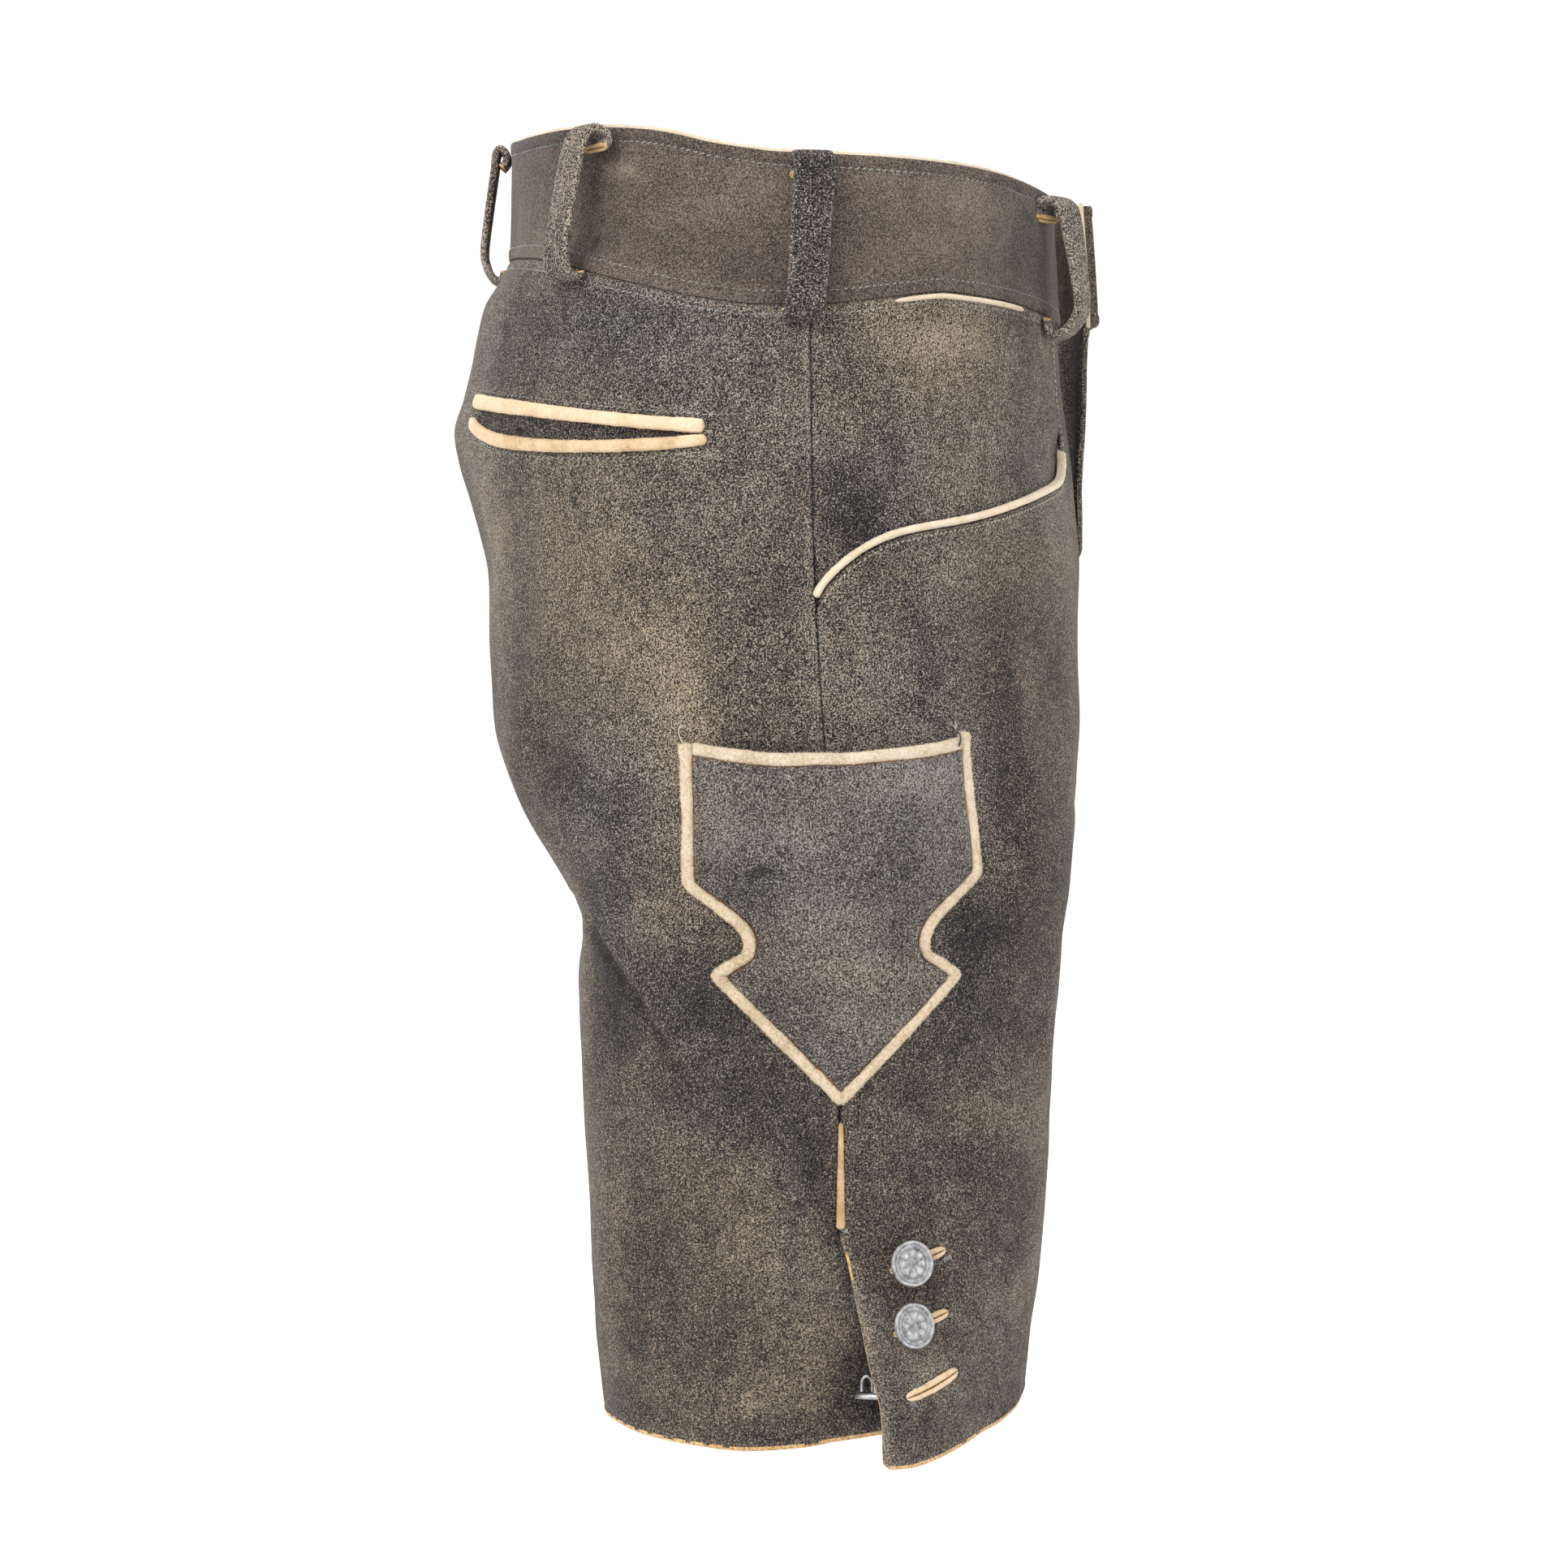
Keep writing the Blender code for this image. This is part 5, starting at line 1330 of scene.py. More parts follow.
def makeButton(name, node, base, axis, left, up, twist, paintedLight=0.0):
    axis = unit(axis)
    turn = np.linspace(0, 2 * math.pi, button["turns"], endpoint=False) + twist
    around = ring(axis, up, turn)
    sections, deep = [], []
    for radius, along in button["profile"][1:-1]:
        # a rosette of petals within a ring of beads, on the face only
        face = 1.0 if along > 4.0 else 0.0
        petal = face * 0.5 * bump(radius - 4.0, 1.5) * np.abs(np.cos(turn * button["petals"] / 2)) ** 0.7
        bead = face * 0.3 * bump(radius - 6.4, 0.42) * (0.5 + 0.5 * np.cos(turn * button["beads"]))
        rise = along + petal + bead - face * 0.25 * bump(radius - 5.5, 0.3)
        # the last term lightens the tone: painted light where a button lies in shade
        deep.append(face * (2.4 * (petal + bead) + 1.2 * bump(radius - 7.8, 0.45) - 0.6)
                    - 0.3 * (1 - face) + paintedLight)
        sections.append(base + axis * rise[:, None] + radius * button["size"] * around)
    marks = {"tone": np.array(deep).ravel(), "worn": 0 * np.array(deep).ravel()}
    piece = makeTube(name, np.array(sections), ("oldSilver",), left, None, marks, sharp=45)
    settle(piece, node)


def makeButtons():
    for left, side, ending in sides:
        for k, (distance, height) in enumerate(button["places"], 1):
            d, z = np.array(distance), np.array(height)
            rise = flapLift(d, z) + button["standOff"]
            base = onSkin(d, z, rise)
            axis = onSkin(d, z, rise + 1) - base + np.array(button["tilts"][k - 1])
            makeButton(f"kneeButton{k}{ending}", f"knee_button_{k}_{side}", base, axis, left,
                       (0, 0, 1), 0.3 * k)
            makeShankThread(f"buttonThread{k}{ending}", base, axis, left, k)
        base = onSkin(*(np.array(value) for value in button["loose"]))
        # the loose third button hangs in shade, so its tone is raised by 1.6: painted light
        makeButton(f"kneeButton3{ending}", f"knee_button_3_{side}", base,
                   np.array(button["looseAxis"]), left, (0, 1, 0), 0.5, 1.6)
        # its wire shank, bent over the thread
        turn = np.linspace(0, math.pi, 24)
        arch = np.stack([0 * turn - 1.0, 4.4 - 2.0 * np.cos(turn), 2.8 * np.sin(turn) + 1.4], axis=1)
        arch = np.concatenate([[arch[0] - [0, 0, 3.0]], arch, [arch[-1] - [0, 0, 3.0]]])
        piece = placeRope(f"buttonShank3{ending}", base + arch, shank["wire"], 8, "oldSilver", left)
        settle(piece)


def makeShankThread(name, base, axis, left, seed):
    # a few turns of tan thread between the button and the leather
    chance = np.random.default_rng(80 + seed)
    axis = unit(axis)
    turn = np.linspace(0, 2 * math.pi * shank["turns"], 110)
    radius = shank["radius"] + 0.3 * np.sin(turn * 0.7)
    along = np.linspace(shank["from"], shank["to"], len(turn))
    along = along + 0.01 * chance.standard_normal(len(turn)).cumsum()
    path = base + axis * along[:, None] + radius[:, None] * ring(axis, (0, 0, 1), turn)
    settle(placeRope(name, path, shank["thread"], 6, "tanThread", left))


def placeRope(name, path, radius, turns, slot, left):
    # a round thread through points in space
    run = unit(np.gradient(path, axis=0))[:, None]
    turn = np.linspace(0, 2 * math.pi, turns, endpoint=False)
    sections = path[:, None] + radius * ring(run, (0.31, 0.47, 0.83), turn)
    return makeTube(name, sections, (slot,), left, sharp=80)


# Sewing: rows of stitches are collected as guide lines, then Geometry Nodes set the threads on them.
threads = {
    "pale": {"spacing": 2.9, "length": 2.1, "thick": 0.4, "slant": 16, "jitter": 0.32},
    "dark": {"spacing": 2.7, "length": 1.7, "thick": 0.5, "slant": 8, "jitter": 0.25},
    "cream": {"spacing": 2.5, "length": 1.5, "thick": 0.42, "slant": 18, "jitter": 0.2},
}
guides = {name: [] for name in threads}


def sew(thread, distance, height, out, left):
    run = runLength(pairs(distance, height))
    even = np.arange(0, run[-1], 1.0)
    distance, height, out = (np.interp(even, run, values + 0 * run) for values in (distance, height, out))
    angle = angleOf(distance, height)
    points, normals = skin(angle, height, out), normalAt(angle, height)
    flip = [-1, 1, 1] if left else [1, 1, 1]
    guides[thread].append((points * flip * mm, normals * flip))


def sewAlong(thread, table, shift, span, left, over, up=0.0, count=400):
    # a row along a seam or edge, a little above or below it, and lying a little over what it holds
    angle = np.linspace(*span, count)
    height = through(table, "height", angle) + shift
    distance = distanceOf(angle, height)
    sew(thread, distance, height, over(left, distance, height) + up, left)


def overBand(left, distance, height):
    return bandOut(left, pastCentre(distance, height), height, band["lift"])


def overPanel(left, distance, height):
    centre = distanceOf(centreAngle(height), height)
    return np.where(distance > 40, frontLift(left, distance, height, centre), 0.0) + 0.1


def overFlap(left, distance, height):
    return flapLift(distance, height)


def overSkin(left, distance, height):
    return 0.0


def sewFly():
    # the lap's two rows, and the one down the waistband's lap end
    height = np.linspace(-50, -122, 120)
    centre = distanceOf(centreAngle(height), height)
    distance = centre + lapReach(height) - stitches["lap"]
    out = frontLift(True, distance, height, centre)
    sew("pale", distance, height, out + 0.05, True)
    sew("cream", distance, height, out - leather["wall"] - 0.4, True)
    height = np.linspace(-34, 2, 60)
    distance = distanceOf(centreAngle(height), height) + band["overlap"] - band["topStitch"]
    sew("pale", distance, height, overBand(True, distance, height) + 0.05, True)


def sewRows():
    for left, _, _ in sides:
        span = (-89.5, 100.0 if left else 89.0)
        sewAlong("pale", waistSeam, -stitches["edge"], span, left, overPanel)
        sewAlong("pale", waistSeam, stitches["bandFoot"], span, left, overBand, 0.12)
        sewAlong("pale", waistTop, -band["topStitch"], span, left, overBand, -0.05)
        for part, shift in (("upper", stitches["welt"]), ("lower", -stitches["welt"])):
            sew("pale", *weltPath(part, shift).T, 0.25, left)
        sew("cream", *scoopPath(-stitches["scoop"]).T, -0.02, left)
        height = np.linspace(-46, -93, 80)
        distance = distanceOf(pocketScoop["hipSeam"], height) + stitches["hip"]
        sew("cream", distance, height, overPanel(left, distance, height), left)
        x, y = shieldOutline(shield["edging"] + leather["seamGap"] + shield["stitch"])[4:].T
        for sign in (1, -1):
            distance, up = shieldPlace(x * sign, y)
            gape = shieldGape(x / np.maximum(x + shield["stitch"], 1), up)
            sew("dark", distance, up, shield["under"] + shield["leather"] + gape - 0.1, left)
        for table, span, over in ((backHem, (-178, -24), overSkin), (frontHem, (14, 178), overFlap)):
            sewAlong("dark", table, stitches["hemRow"], span, left, over, -0.05, 500)
        if left:
            sewFly()


class Nodes:
    # a short way of building a node tree: a node's inputs take values and sockets alike
    def __init__(self, tree):
        self.tree = tree

    def add(self, kind, inputs=None, **settings):
        node = self.tree.nodes.new(kind)
        for key, value in settings.items():
            setattr(node, key, value)
        self.feed(node, inputs or {})
        return node.outputs

    def feed(self, node, inputs):
        for key, value in inputs.items():
            if isinstance(value, bpy.types.NodeSocket):
                self.tree.links.new(value, node.inputs[key])
            else:
                node.inputs[key].default_value = value


def geometryNodes(name, numbers, dye):
    # a tree that takes a mesh, some numbers, a seed and a material, and its inputs' sockets
    tree = bpy.data.node_groups.new(name, "GeometryNodeTree")
    kinds = [("Geometry", "Geometry"), *((label, "Float") for label in numbers), ("Seed", "Int"),
             (dye, "Material")]
    for label, kind in kinds:
        tree.interface.new_socket(label, in_out="INPUT", socket_type="NodeSocket" + kind)
    tree.interface.new_socket("Geometry", in_out="OUTPUT", socket_type="NodeSocketGeometry")
    n = Nodes(tree)
    return n, n.add("NodeGroupInput")


def makeStitchTree():
    n, given = geometryNodes("stitchRow", ("Spacing", "Length", "Thickness", "Slant", "Jitter"), "Thread")
    curve = n.add("GeometryNodeMeshToCurve", {0: given["Geometry"]})
    even = n.add("GeometryNodeResampleCurve", {"Curve": curve[0], "Length": given["Spacing"]},
                 mode="LENGTH")
    ball = n.add("GeometryNodeMeshUVSphere", {"Segments": 6, "Rings": 5, "Radius": 0.5})
    size = n.add("ShaderNodeCombineXYZ",
                 {"X": given["Length"], "Y": given["Thickness"], "Z": given["Thickness"]})
    laid = n.add("GeometryNodeTransform", {"Geometry": ball["Mesh"], "Rotation": (0, math.pi / 2, 0)})
    stitch = n.add("GeometryNodeTransform", {"Geometry": laid[0], "Scale": size[0]})
    outward = n.add("GeometryNodeInputNamedAttribute", {"Name": "outward"}, data_type="FLOAT_VECTOR")
    along = n.add("GeometryNodeInputTangent")
    facing = n.add("FunctionNodeAxesToRotation",
                   {"Primary Axis": outward["Attribute"], "Secondary Axis": along[0]},
                   primary_axis="Z", secondary_axis="X")
    sown = n.add("GeometryNodeInstanceOnPoints",
                 {"Points": even[0], "Instance": stitch[0], "Rotation": facing[0]})
    chance = n.add("FunctionNodeRandomValue", {2: -1.0, 3: 1.0, "Seed": given["Seed"]},
                   data_type="FLOAT")
    swing = n.add("ShaderNodeMath", {0: chance[1], 1: given["Jitter"], 2: given["Slant"]},
                  operation="MULTIPLY_ADD")
    spin = n.add("ShaderNodeCombineXYZ", {"Z": swing[0]})
    slanted = n.add("GeometryNodeRotateInstances", {"Instances": sown[0], "Rotation": spin[0]})
    real = n.add("GeometryNodeRealizeInstances", {0: slanted[0]})
    smooth = n.add("GeometryNodeSetShadeSmooth", {0: real[0]})
    dyed = n.add("GeometryNodeSetMaterial", {"Geometry": smooth[0], "Material": given["Thread"]})
    n.add("NodeGroupOutput", {0: dyed[0]})
    return n.tree


def applyTree(name, mesh, tree, values):
    # run a node tree on a mesh and keep its result as a plain mesh
    guide = placeObject(name + "Guide", mesh)
    modifier = guide.modifiers.new("nodes", "NODES")
    modifier.node_group = tree
    sockets = {s.name: s.identifier for s in tree.interface.items_tree if s.in_out == "INPUT"}
    for label, value in values.items():
        modifier[sockets[label]] = value
    graph = bpy.context.evaluated_depsgraph_get()
    made = bpy.data.meshes.new_from_object(guide.evaluated_get(graph))
    guide.modifiers.clear()
    bpy.data.objects.remove(guide)
    made.name = name
    settle(placeObject(name, made))
    print(name, len(made.polygons), "faces")


def makeStitches():
    sewRows()
    tree = makeStitchTree()
    for seed, (thread, look) in enumerate(threads.items(), 3):
        edges, start = [], 0
        for points, _ in guides[thread]:
            edges += [(start + k, start + k + 1) for k in range(len(points) - 1)]
            start += len(points)
        points, normals = (np.concatenate(part) for part in zip(*guides[thread]))
        mesh = bpy.data.meshes.new(thread + "Guide")
        mesh.from_pydata(points.tolist(), edges, [])
        layer = mesh.attributes.new("outward", "FLOAT_VECTOR", "POINT")
        layer.data.foreach_set("vector", normals.astype(np.float32).ravel())
        applyTree(thread + "Stitches", mesh, tree, {
            "Spacing": look["spacing"] * mm, "Length": look["length"] * mm,
            "Thickness": look["thick"] * mm, "Slant": math.radians(look["slant"]),
            "Jitter": look["jitter"], "Seed": seed, "Thread": materials[thread + "Thread"]})


# Loose thread ends and tacks: from the side seam, height, how far out, which way in degrees, length,
# how many strands, how wide they spread, and the thread.
threadEnds = (
    (52.6, -209.2, 2.2, 92, 3.0, 7, 1.0, "cream"),
    (53.4, -219.8, 2.6, 285, 2.0, 6, 2.4, "pale"),
    (-54.0, -209.0, 2.2, 100, 2.4, 5, 1.0, "cream"),
    (42.0, -411.6, 0.9, -50, 1.5, 14, 3.0, "pale"),
    (37.6, -413.4, 0.9, -80, 1.3, 8, 4.0, "pale"),
    (42.2, -433.6, 0.9, -20, 1.5, 12, 2.4, "pale"),
    (38.6, -436.4, 0.9, -70, 1.4, 14, 4.0, "pale"),
    (45.4, -456.0, 0.9, -30, 1.6, 12, 2.0, "pale"),
    (39.0, -461.6, 0.9, -70, 1.3, 14, 7.0, "pale"),
    (23.0, -463.6, 0.9, -95, 2.2, 12, 2.4, "pale"),
    (27.0, -458.6, 0.9, 110, 1.4, 14, 7.0, "pale"),
    (1.4, -401.4, 0.9, 100, 1.7, 9, 2.2, "pale"),
    (-38.6, -90.4, 1.2, 60, 1.8, 6, 1.8, "cream"),
    (-39.0, -96.4, 1.4, 200, 2.0, 6, 2.6, "cream"),
    (-39.0, -105.0, 0.9, 250, 1.8, 6, 2.6, "pale"),
    (-97.5, -31.0, 1.8, 250, 2.4, 5, 1.2, "cream"),
    (-10.0, -50.6, 1.8, 190, 2.2, 5, 1.2, "cream"),
    (3.5, -54.0, 1.6, 250, 1.8, 5, 3.4, "cream"),
)
tacks = (
    # cords over the leg pocket's mouth at its corners: from the side seam, height, lean
    (52.4, -213.6, 0.3), (53.1, -213.7, 0.6), (-54.6, -211.6, -0.3), (-54.0, -211.7, -0.6),
)


def joinPieces(name, pieces, slot):
    shape = bmesh.new()
    for piece in pieces:
        shape.from_mesh(piece.data)
        bpy.data.objects.remove(piece)
    mesh = bpy.data.meshes.new(name)
    shape.to_mesh(mesh)
    shape.free()
    mesh.materials.append(materials[slot])
    settle(placeObject(name, mesh))


def makeThreadEnds():
    share = np.linspace(0, 1, 9)
    for left, _, ending in sides:
        chance = np.random.default_rng(77)
        strands = {"pale": [], "cream": [], "dark": []}
        for at, level, out, way, length, count, wide, thread in threadEnds:
            rise = flapLift(np.array(at), np.array(level)) if at > 0 and level < -400 else 0.0
            for _ in range(count):
                tilt = way + 34 * chance.standard_normal()
                run = length * chance.uniform(0.5, 1.2) * share
                bow = 0.7 * chance.standard_normal() * share ** 2
                right, up = slanted(run, bow, -tilt)
                aside = wide * chance.uniform(-0.5, 0.5)
                across, over = slanted(aside, 0.0, -kneeHoles["slope"] if level < -405 else 0.0)
                distance, height = at + across + right, level + over + up
                height = height + chance.uniform(-0.5, 0.5)
                lift = out * (1 - 0.8 * share) + chance.uniform(0, 0.9) * np.sin(share * math.pi)
                path = onSkin(distance, height, rise + lift)
                strands[thread].append(placeRope("strand", path, 0.11, 4, thread + "Thread", left))
        for k, (at, level, lean) in enumerate(tacks):
            height = level + 3.6 - 7.2 * share
            distance = at + lean * np.sin(share * 5) * 0.6
            path = onSkin(distance, height, 1.4 + 3.4 * np.sin(share * math.pi) ** 0.4)
            thread = ("dark", "cream")[k % 2]
            strands[thread].append(placeRope("strand", path, 0.3, 6, thread + "Thread", left))
        for thread, pieces in strands.items():
            joinPieces(thread + "Ends" + ending, pieces, thread + "Thread")


# The short fibres that stand on the leg pocket's fuzzy trims.
fuzz = {"Density": 2.4e6, "Length": 0.85 * mm, "Width": 0.075 * mm, "Lean": 1.1}


def makeFuzzTree():
    n, given = geometryNodes("fuzz", fuzz, "Leather")
    sown = n.add("GeometryNodeDistributePointsOnFaces",
                 {"Mesh": given["Geometry"], "Density": given["Density"], "Seed": given["Seed"]})
    hair = n.add("GeometryNodeMeshCone", {"Vertices": 3, "Radius Top": 0.0,
                                          "Radius Bottom": given["Width"], "Depth": given["Length"]})
    minus = n.add("ShaderNodeMath", {0: given["Lean"], 1: -1.0}, operation="MULTIPLY")
    low = n.add("ShaderNodeCombineXYZ", {"X": minus[0], "Y": minus[0]})
    high = n.add("ShaderNodeCombineXYZ", {"X": given["Lean"], "Y": given["Lean"]})
    leant = n.add("FunctionNodeRandomValue", {0: low[0], 1: high[0], "Seed": given["Seed"]},
                  data_type="FLOAT_VECTOR")
    stand = n.add("GeometryNodeInstanceOnPoints",
                  {"Points": sown["Points"], "Rotation": sown["Rotation"], "Instance": hair["Mesh"]})
    swayed = n.add("GeometryNodeRotateInstances", {"Instances": stand[0], "Rotation": leant[0]})
    real = n.add("GeometryNodeRealizeInstances", {0: swayed[0]})
    dyed = n.add("GeometryNodeSetMaterial", {"Geometry": real[0], "Material": given["Leather"]})
    n.add("NodeGroupOutput", {0: dyed[0]})
    return n.tree


def makeFuzz():
    tree = makeFuzzTree()
    for _, _, ending in sides:
        for seed, part in enumerate(("Edging", "Binding"), 5):
            trim = bpy.data.objects[f"legPocket{part}{ending}"]
            applyTree(f"legPocket{part}Fuzz{ending}", trim.data.copy(), tree,
                      {**fuzz, "Seed": seed, "Leather": materials["fuzzyLeather"]})


# Materials. Leather is one recipe with a look for each kind: its ramp's stops, its numbers and its
# colours from dark to light. cool turns the darker clouds towards blue-grey, scars is how many dark
# nicks there are.
leatherStops = {"nap": (0.1, 0.38, 0.58, 0.98), "core": (0.15, 0.4, 0.6, 0.95),
                "trim": (0.1, 0.38, 0.58, 0.95)}
leatherFields = ("grain", "fine", "cloud", "tone", "worn", "size", "base", "bump", "cool", "scars")
leatherLooks = {
    # its ramp's stops, the numbers of leatherFields and four colours
    "suede": ("nap", (2.8, 0.5, 0.5, 0.22, 0.14, 0.47, 0.465, 0.35, 1.0, 0.5),
        (0.0055, 0.0055, 0.0065), (0.034, 0.029, 0.026), (0.13, 0.103, 0.078), (0.43, 0.345, 0.25)),
    "bandSuede": ("nap", (1.8, 0.4, 0.35, 0.18, 0.12, 0.47, 0.5, 0.25, 0.18, 0.3),
        (0.014, 0.011, 0.009), (0.05, 0.037, 0.029), (0.125, 0.097, 0.076), (0.28, 0.225, 0.18)),
    "loopSuede": ("nap", (2.8, 0.5, 0.4, 0.16, 0.14, 0.5, 0.46, 0.4, 0.9, 0.0),
        (0.006, 0.006, 0.006), (0.035, 0.03, 0.027), (0.135, 0.109, 0.088), (0.48, 0.395, 0.31)),
    "pocketSuede": ("nap", (2.3, 0.5, 0.4, 0.2, 0.1, 0.5, 0.485, 0.3, 0.9, 0.15),
        (0.01, 0.009, 0.009), (0.05, 0.042, 0.037), (0.155, 0.128, 0.106), (0.4, 0.33, 0.265)),
    "fleshSide": ("core", (1.0, 0.5, 0.6, 0.05, 0.1, 0.9, 0.5, 0.3, 0.0, 0.1),
        (0.03, 0.02, 0.014), (0.08, 0.056, 0.038), (0.15, 0.11, 0.075), (0.26, 0.2, 0.14)),
    "suedeEdge": ("nap", (2.2, 0.5, 0.4, 0.1, 0.05, 0.55, 0.48, 0.35, 0.2, 0.0),
        (0.006, 0.005, 0.005), (0.032, 0.026, 0.022), (0.1, 0.076, 0.056), (0.28, 0.2, 0.13)),
    "cutLeather": ("core", (1.0, 0.4, 0.4, 0.0, 0.0, 0.8, 0.52, 0.3, 0.0, 0.0),
        (0.22, 0.12, 0.05), (0.46, 0.28, 0.125), (0.66, 0.44, 0.22), (0.8, 0.6, 0.36)),
    # the leg pocket's rim: dark cut core and painted shade
    "tanCore": ("core", (0.9, 0.4, 0.8, 0.0, 0.0, 0.8, 0.47, 0.3, 0.0, 0.0),
        (0.03, 0.015, 0.008), (0.1, 0.045, 0.018), (0.24, 0.11, 0.038), (0.4, 0.21, 0.08)),
    "darkCore": ("core", (0.9, 0.4, 0.3, 0.0, 0.0, 0.8, 0.5, 0.3, 0.0, 0.0),
        (0.08, 0.04, 0.016), (0.16, 0.085, 0.035), (0.34, 0.2, 0.085), (0.5, 0.33, 0.16)),
    "paleLeather": ("trim", (0.5, 0.3, 0.6, 0.1, 0.08, 1.0, 0.56, 0.22, 0.0, 0.0),
        (0.45, 0.33, 0.2), (0.6, 0.475, 0.33), (0.71, 0.59, 0.455), (0.83, 0.74, 0.61)),
    "weltLeather": ("trim", (0.45, 0.3, 0.9, 0.1, 0.08, 1.0, 0.54, 0.2, 0.0, 0.0),
        (0.42, 0.26, 0.13), (0.57, 0.4, 0.24), (0.69, 0.52, 0.345), (0.8, 0.67, 0.51)),
    "bindingLeather": ("trim", (0.9, 0.5, 0.5, 0.1, 0.1, 0.7, 0.54, 0.6, 0.0, 0.0),
        (0.4, 0.3, 0.18), (0.55, 0.44, 0.31), (0.67, 0.57, 0.44), (0.8, 0.73, 0.62)),
    "fuzzyLeather": ("trim", (0.9, 0.5, 0.5, 0.1, 0.1, 0.7, 0.54, 0.8, 0.0, 0.0),
        (0.4, 0.29, 0.17), (0.55, 0.43, 0.29), (0.68, 0.565, 0.42), (0.8, 0.72, 0.6)),
}


class Look(Nodes):
    # the nodes of one material
    def __init__(self, name):
        materials[name] = bpy.data.materials.new(name)
        materials[name].use_nodes = True
        super().__init__(materials[name].node_tree)
        self.place = self.add("ShaderNodeTexCoord")["Object"]

    def noise(self, size, detail=2.0, rough=0.5, twist=0.0):
        return self.add("ShaderNodeTexNoise", {"Vector": self.place, "Scale": size, "Detail": detail,
                                               "Roughness": rough, "Distortion": twist})["Fac"]

    def math(self, operation, *values):
        inputs = dict(enumerate((*values, 0.0)[:3]))
        return self.add("ShaderNodeMath", inputs, operation=operation)[0]

    def more(self, value, part, amount):
        return self.math("MULTIPLY_ADD", part, amount, value)

    def vary(self, value, part, amount):
        # move a value up and down by a noise
        return self.more(value, self.math("SUBTRACT", part, 0.5), amount)

    def mix(self, blend, amount, a, b):
        return self.add("ShaderNodeMix", {0: amount, 6: a, 7: b}, data_type="RGBA",
                        blend_type=blend)[2]

    def mark(self, name):
        return self.add("ShaderNodeAttribute", attribute_name=name)["Fac"]

    def ramp(self, value, stops, colours):
        node = self.tree.nodes.new("ShaderNodeValToRGB")
        band = node.color_ramp
        while len(band.elements) < len(stops):
            band.elements.new(0.5)
        for element, stop, colour in zip(band.elements, stops, colours):
            element.position = stop
            element.color = (*colour, 1)
        self.feed(node, {"Fac": value})
        return node.outputs["Color"]

    def scars(self, amount):
        # sparse dark nicks: small stretched cells, of which a part is picked by chance
        wide = self.add("ShaderNodeMapping", {"Vector": self.place, "Scale": (1.0, 1.0, 0.45),
                                              "Rotation": (0.5, 0.2, 0.3)})
        cells = self.add("ShaderNodeTexVoronoi", {"Vector": wide[0], "Scale": 42})
        away = self.math("ADD", cells["Distance"], self.more(-0.015, self.noise(900), 0.03))
        near = self.add("ShaderNodeMapRange", {"Value": away, "From Min": 0.034, "From Max": 0.012},
                        interpolation_type="SMOOTHSTEP")
        split = self.add("ShaderNodeSeparateColor", {0: cells["Color"]})
        picked = self.math("LESS_THAN", split[0], amount)
        return self.math("MULTIPLY", self.math("MULTIPLY", near[0], picked), 0.85)

    def finish(self, colour, rough, height=None, depth=0.0, strength=1.0, **others):
        # colour and roughness, a bump from a height, and the shader's other values
        inputs = {"Base Color": colour, "Roughness": rough}
        if height is not None:
            inputs["Normal"] = self.add("ShaderNodeBump", {"Distance": depth, "Strength": strength,
                                                           "Height": height})["Normal"]
        self.feed(self.tree.nodes["Principled BSDF"], {**inputs, **others})


def makeLeather(name, stops, numbers, colours):
    n = Look(name)
    look = dict(zip(leatherFields, numbers))
    grain = n.noise(820 / look["size"], 2.0, 0.55, 0.1)
    fine = n.noise(360 / look["size"], 2.0, 0.6)
    cloud = n.noise(15, 4.0, 0.55, 0.4)
    patch = n.noise(150, 3.0, 0.55, 0.3)
    depth = look["grain"]
    if name == "suede":
        # the grain is shallower down the legs
        up = n.add("ShaderNodeSeparateXYZ", {0: n.place})["Z"]
        depth = n.add("ShaderNodeMapRange", {"Value": up, "From Min": -0.24, "From Max": -0.42,
                                             "To Min": depth, "To Max": depth * 0.7})[0]
    value = n.vary(look["base"], grain, depth)
    for part, amount in ((fine, look["fine"]), (cloud, look["cloud"]), (patch, look["cloud"] * 0.6)):
        value = n.vary(value, part, amount)
    value = n.more(value, n.mark("tone"), look["tone"])
    value = n.more(value, n.mark("worn"), look["worn"])
    colour = n.ramp(value, leatherStops[stops], colours)
    if look["cool"]:
        amount = n.vary(n.vary(n.mark("cool"), cloud, 0.9), fine, 1.4)
        amount = n.math("MULTIPLY", n.add("ShaderNodeClamp", {"Value": amount})[0], look["cool"])
        colour = n.mix("MULTIPLY", amount, colour, (0.83, 0.975, 1.25, 1))
    if look["scars"]:
        colour = n.mix("MIX", n.scars(look["scars"]), colour, (0.012, 0.011, 0.012, 1))
    height = n.more(n.more(grain, fine, 0.5), patch, 0.8)
    n.finish(colour, n.more(0.84, grain, 0.12), height, 0.0009 * look["bump"], 0.8,
             **{"Sheen Weight": 0.05, "Sheen Roughness": 0.5, "Specular IOR Level": 0.2})


threadLooks = {
    "pale": ((0.17, 0.185, 0.18), (0.45, 0.47, 0.455)),
    "dark": ((0.02, 0.02, 0.02), (0.08, 0.08, 0.075)),
    "cream": ((0.3, 0.28, 0.22), (0.6, 0.55, 0.43)),
    "tan": ((0.32, 0.2, 0.09), (0.62, 0.44, 0.24)),
}


def makeThreads():
    for thread, colours in threadLooks.items():
        n = Look(thread + "Thread")
        twist = n.noise(1500, 2.0, 0.5)
        value = n.vary(twist, n.noise(60, 3.0, 0.6), 1.4)
        n.finish(n.ramp(value, (0.3, 0.7), colours), n.more(0.55, twist, 0.2), twist, 0.0002)


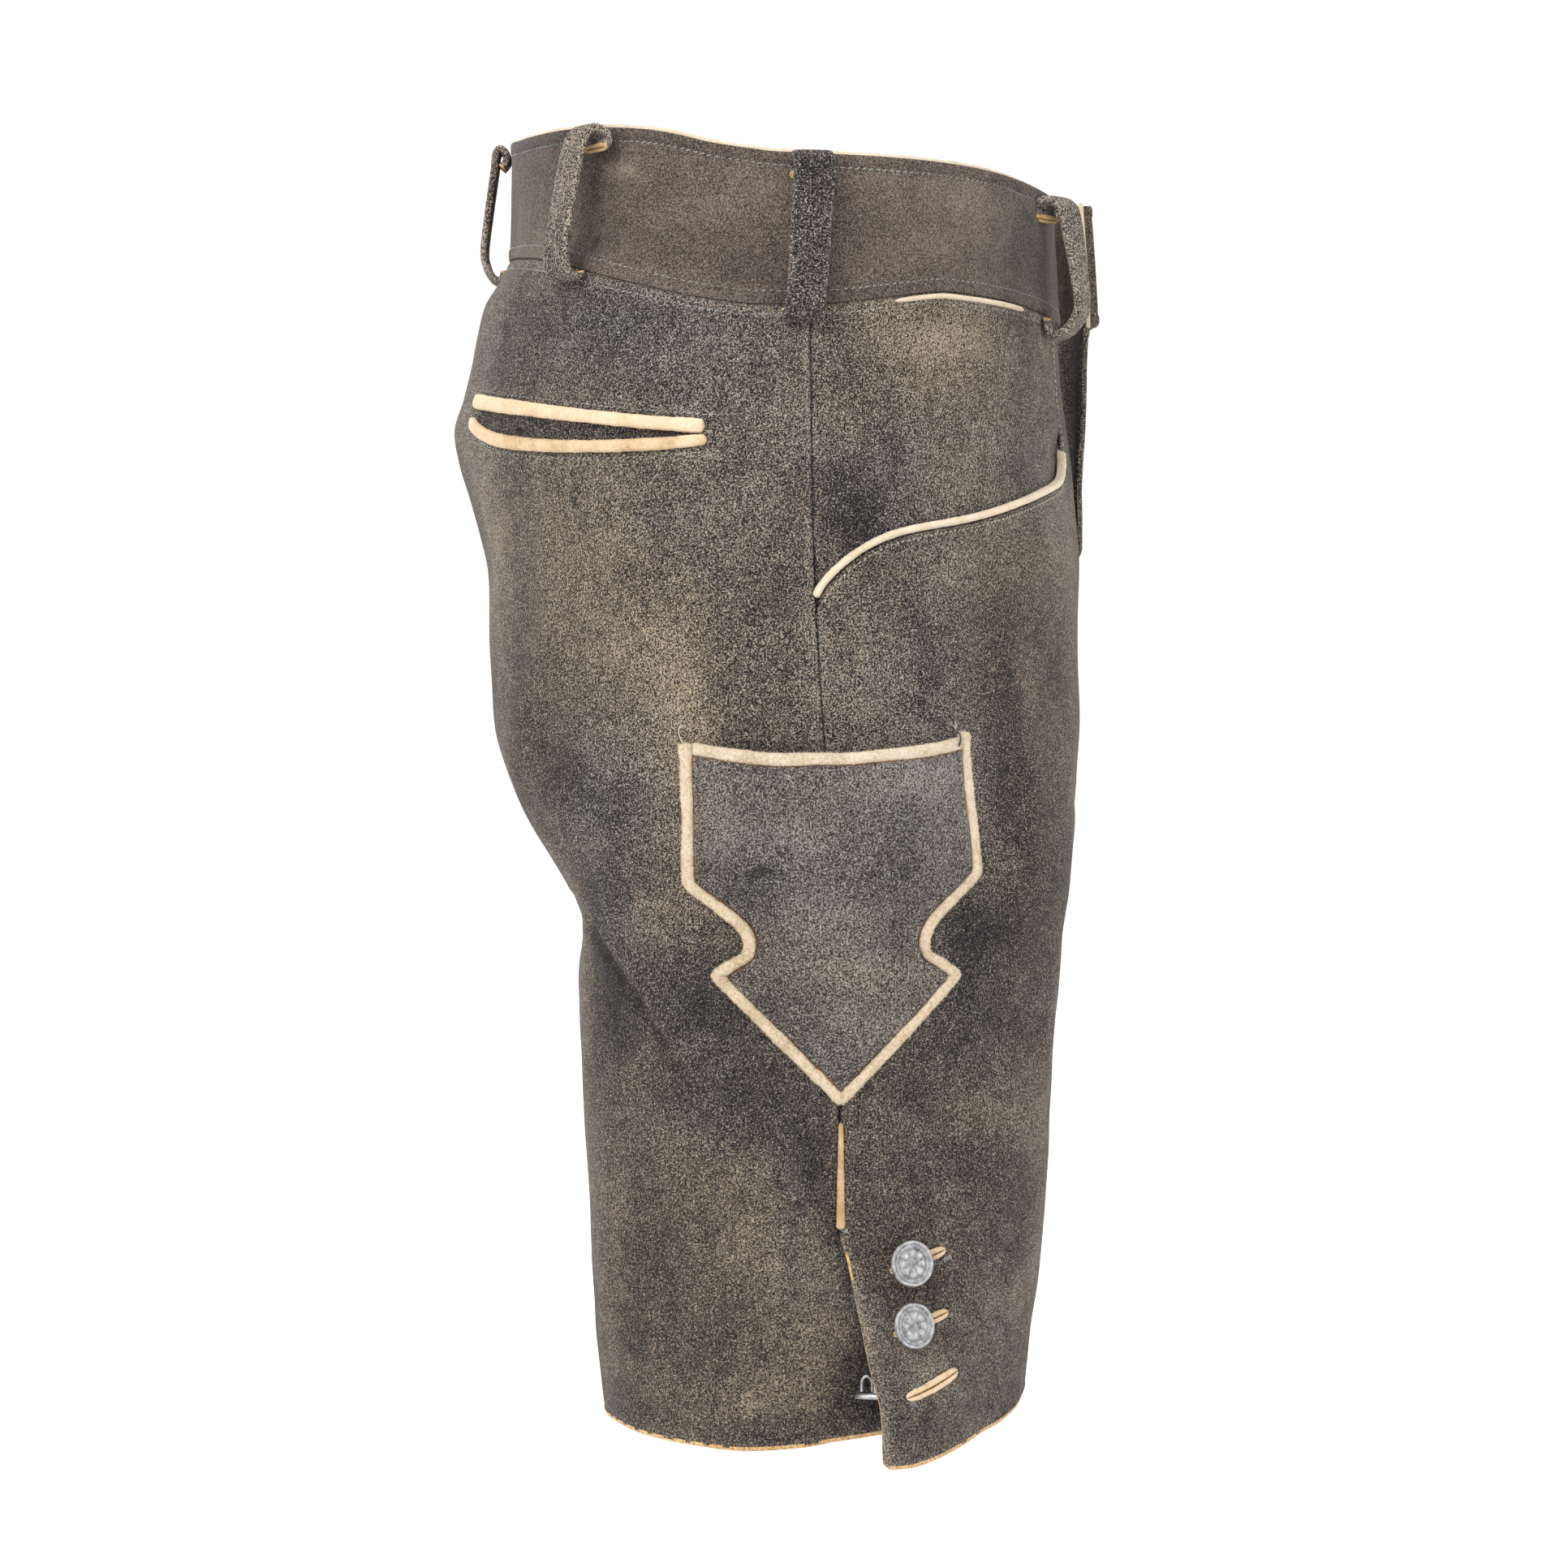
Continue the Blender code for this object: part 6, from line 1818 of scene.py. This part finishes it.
def makeSilver():
    n = Look("oldSilver")
    tarnish = n.noise(420, 4.0, 0.6, 0.3)
    value = n.more(n.vary(tarnish, n.noise(1400, 3.0, 0.6), 0.6), n.mark("tone"), 0.22)
    tint = n.ramp(value, (0.12, 0.45, 0.8),
                  ((0.07, 0.07, 0.073), (0.32, 0.32, 0.328), (0.62, 0.62, 0.63)))
    n.finish(tint, n.more(0.3, tarnish, 0.3), value, 0.00008, Metallic=1.0)


studio = {
    "floor": -0.62, "radius": 3.6, "curve": 1.0, "high": 3.4, "turns": 96, "sky": 0.75,
    "aim": (0, 0, -0.22),
    "lights": (
        # name, place, size, power, colour
        ("keyLight", (-2.3, 1.5, 1.6), 1.6, 46, (1.0, 0.99, 0.97)),
        ("fillLight", (-1.9, -2.1, 0.6), 2.0, 10, (0.97, 0.985, 1.0)),
        ("topLight", (0.0, 0.0, 2.4), 1.6, 24, (1.0, 1.0, 1.0)),
        ("backLight", (2.3, 0.6, 1.3), 2.0, 34, (1.0, 0.99, 0.97)),
    ),
    "camera": (-2.0, 0.0068, -0.2306), "lens": 109.27,
}


def makeCove():
    # a round pale cove: a flat floor that curves up into a wall
    radius, curve, floor = studio["radius"], studio["curve"], studio["floor"]
    rise = np.linspace(0, math.pi / 2, 13)
    reach = np.array([0.0, *(radius - curve + curve * np.sin(rise)), radius])
    height = np.array([floor, *(floor + curve * (1 - np.cos(rise))), studio["high"]])
    turn = np.arange(studio["turns"]) * 2 * math.pi / studio["turns"]
    points = np.stack([reach[:, None] * np.cos(turn), reach[:, None] * np.sin(turn),
                       height[:, None] + 0 * turn], axis=-1)
    grid = np.arange(len(reach) * len(turn)).reshape(len(reach), -1)
    beside = np.roll(grid, -1, axis=1)
    faces = np.stack([grid[:-1], grid[1:], beside[1:], beside[:-1]], axis=-1)
    mesh = bpy.data.meshes.new("studioCove")
    mesh.from_pydata(points.reshape(-1, 3).tolist(), [], faces.reshape(-1, 4).tolist())
    shape = bmesh.new()
    shape.from_mesh(mesh)
    bmesh.ops.remove_doubles(shape, verts=shape.verts, dist=0.0001)
    shape.to_mesh(mesh)
    shape.free()
    mesh.shade_smooth()
    n = Look("covePaint")
    n.finish(n.ramp(n.noise(3.0, 3.0), (0.3, 0.7), ((0.9, 0.9, 0.9), (0.93, 0.93, 0.93))), 0.9)
    mesh.materials.append(materials["covePaint"])
    placeObject("studioCove", mesh)


def makeLights():
    world = bpy.data.worlds.new("softSky")
    world.use_nodes = True
    Nodes(world.node_tree).feed(world.node_tree.nodes["Background"],
                                {"Color": (1, 1, 1, 1), "Strength": studio["sky"]})
    bpy.context.scene.world = world
    for name, place, size, power, colour in studio["lights"]:
        lamp = bpy.data.lights.new(name, "AREA")
        lamp.size, lamp.energy, lamp.color = size, power, colour
        light = placeObject(name, lamp)
        light.location = place
        aim = Vector(studio["aim"]) - Vector(place)
        light.rotation_euler = aim.to_track_quat("-Z", "Y").to_euler()
    bpy.context.scene.view_settings.view_transform = "Standard"


def makeCamera():
    lens = bpy.data.cameras.new("camera")
    lens.lens, lens.sensor_width = studio["lens"], 36
    camera = placeObject("camera", lens)
    camera.location = studio["camera"]
    camera.rotation_euler = (math.pi / 2, 0, -math.pi / 2)
    bpy.context.scene.camera = camera


makeCamera()
for name, (stops, numbers, *colours) in leatherLooks.items():
    makeLeather(name, stops, numbers, colours)
makeThreads()
makeSilver()
print("materials made")
makeBack()
makeFront()
makeHip()
print("panels made")
makeWaistband()
makeBeltLoops()
print("waistband and loops made")
makeLegPocket()
makeTrims(pocketTrims)
makeTrims(seamTrims)
makeButtonholes()
makeButtons()
print("pockets and knee closures made")
makeStitches()
makeThreadEnds()
makeFuzz()
makeCove()
makeLights()
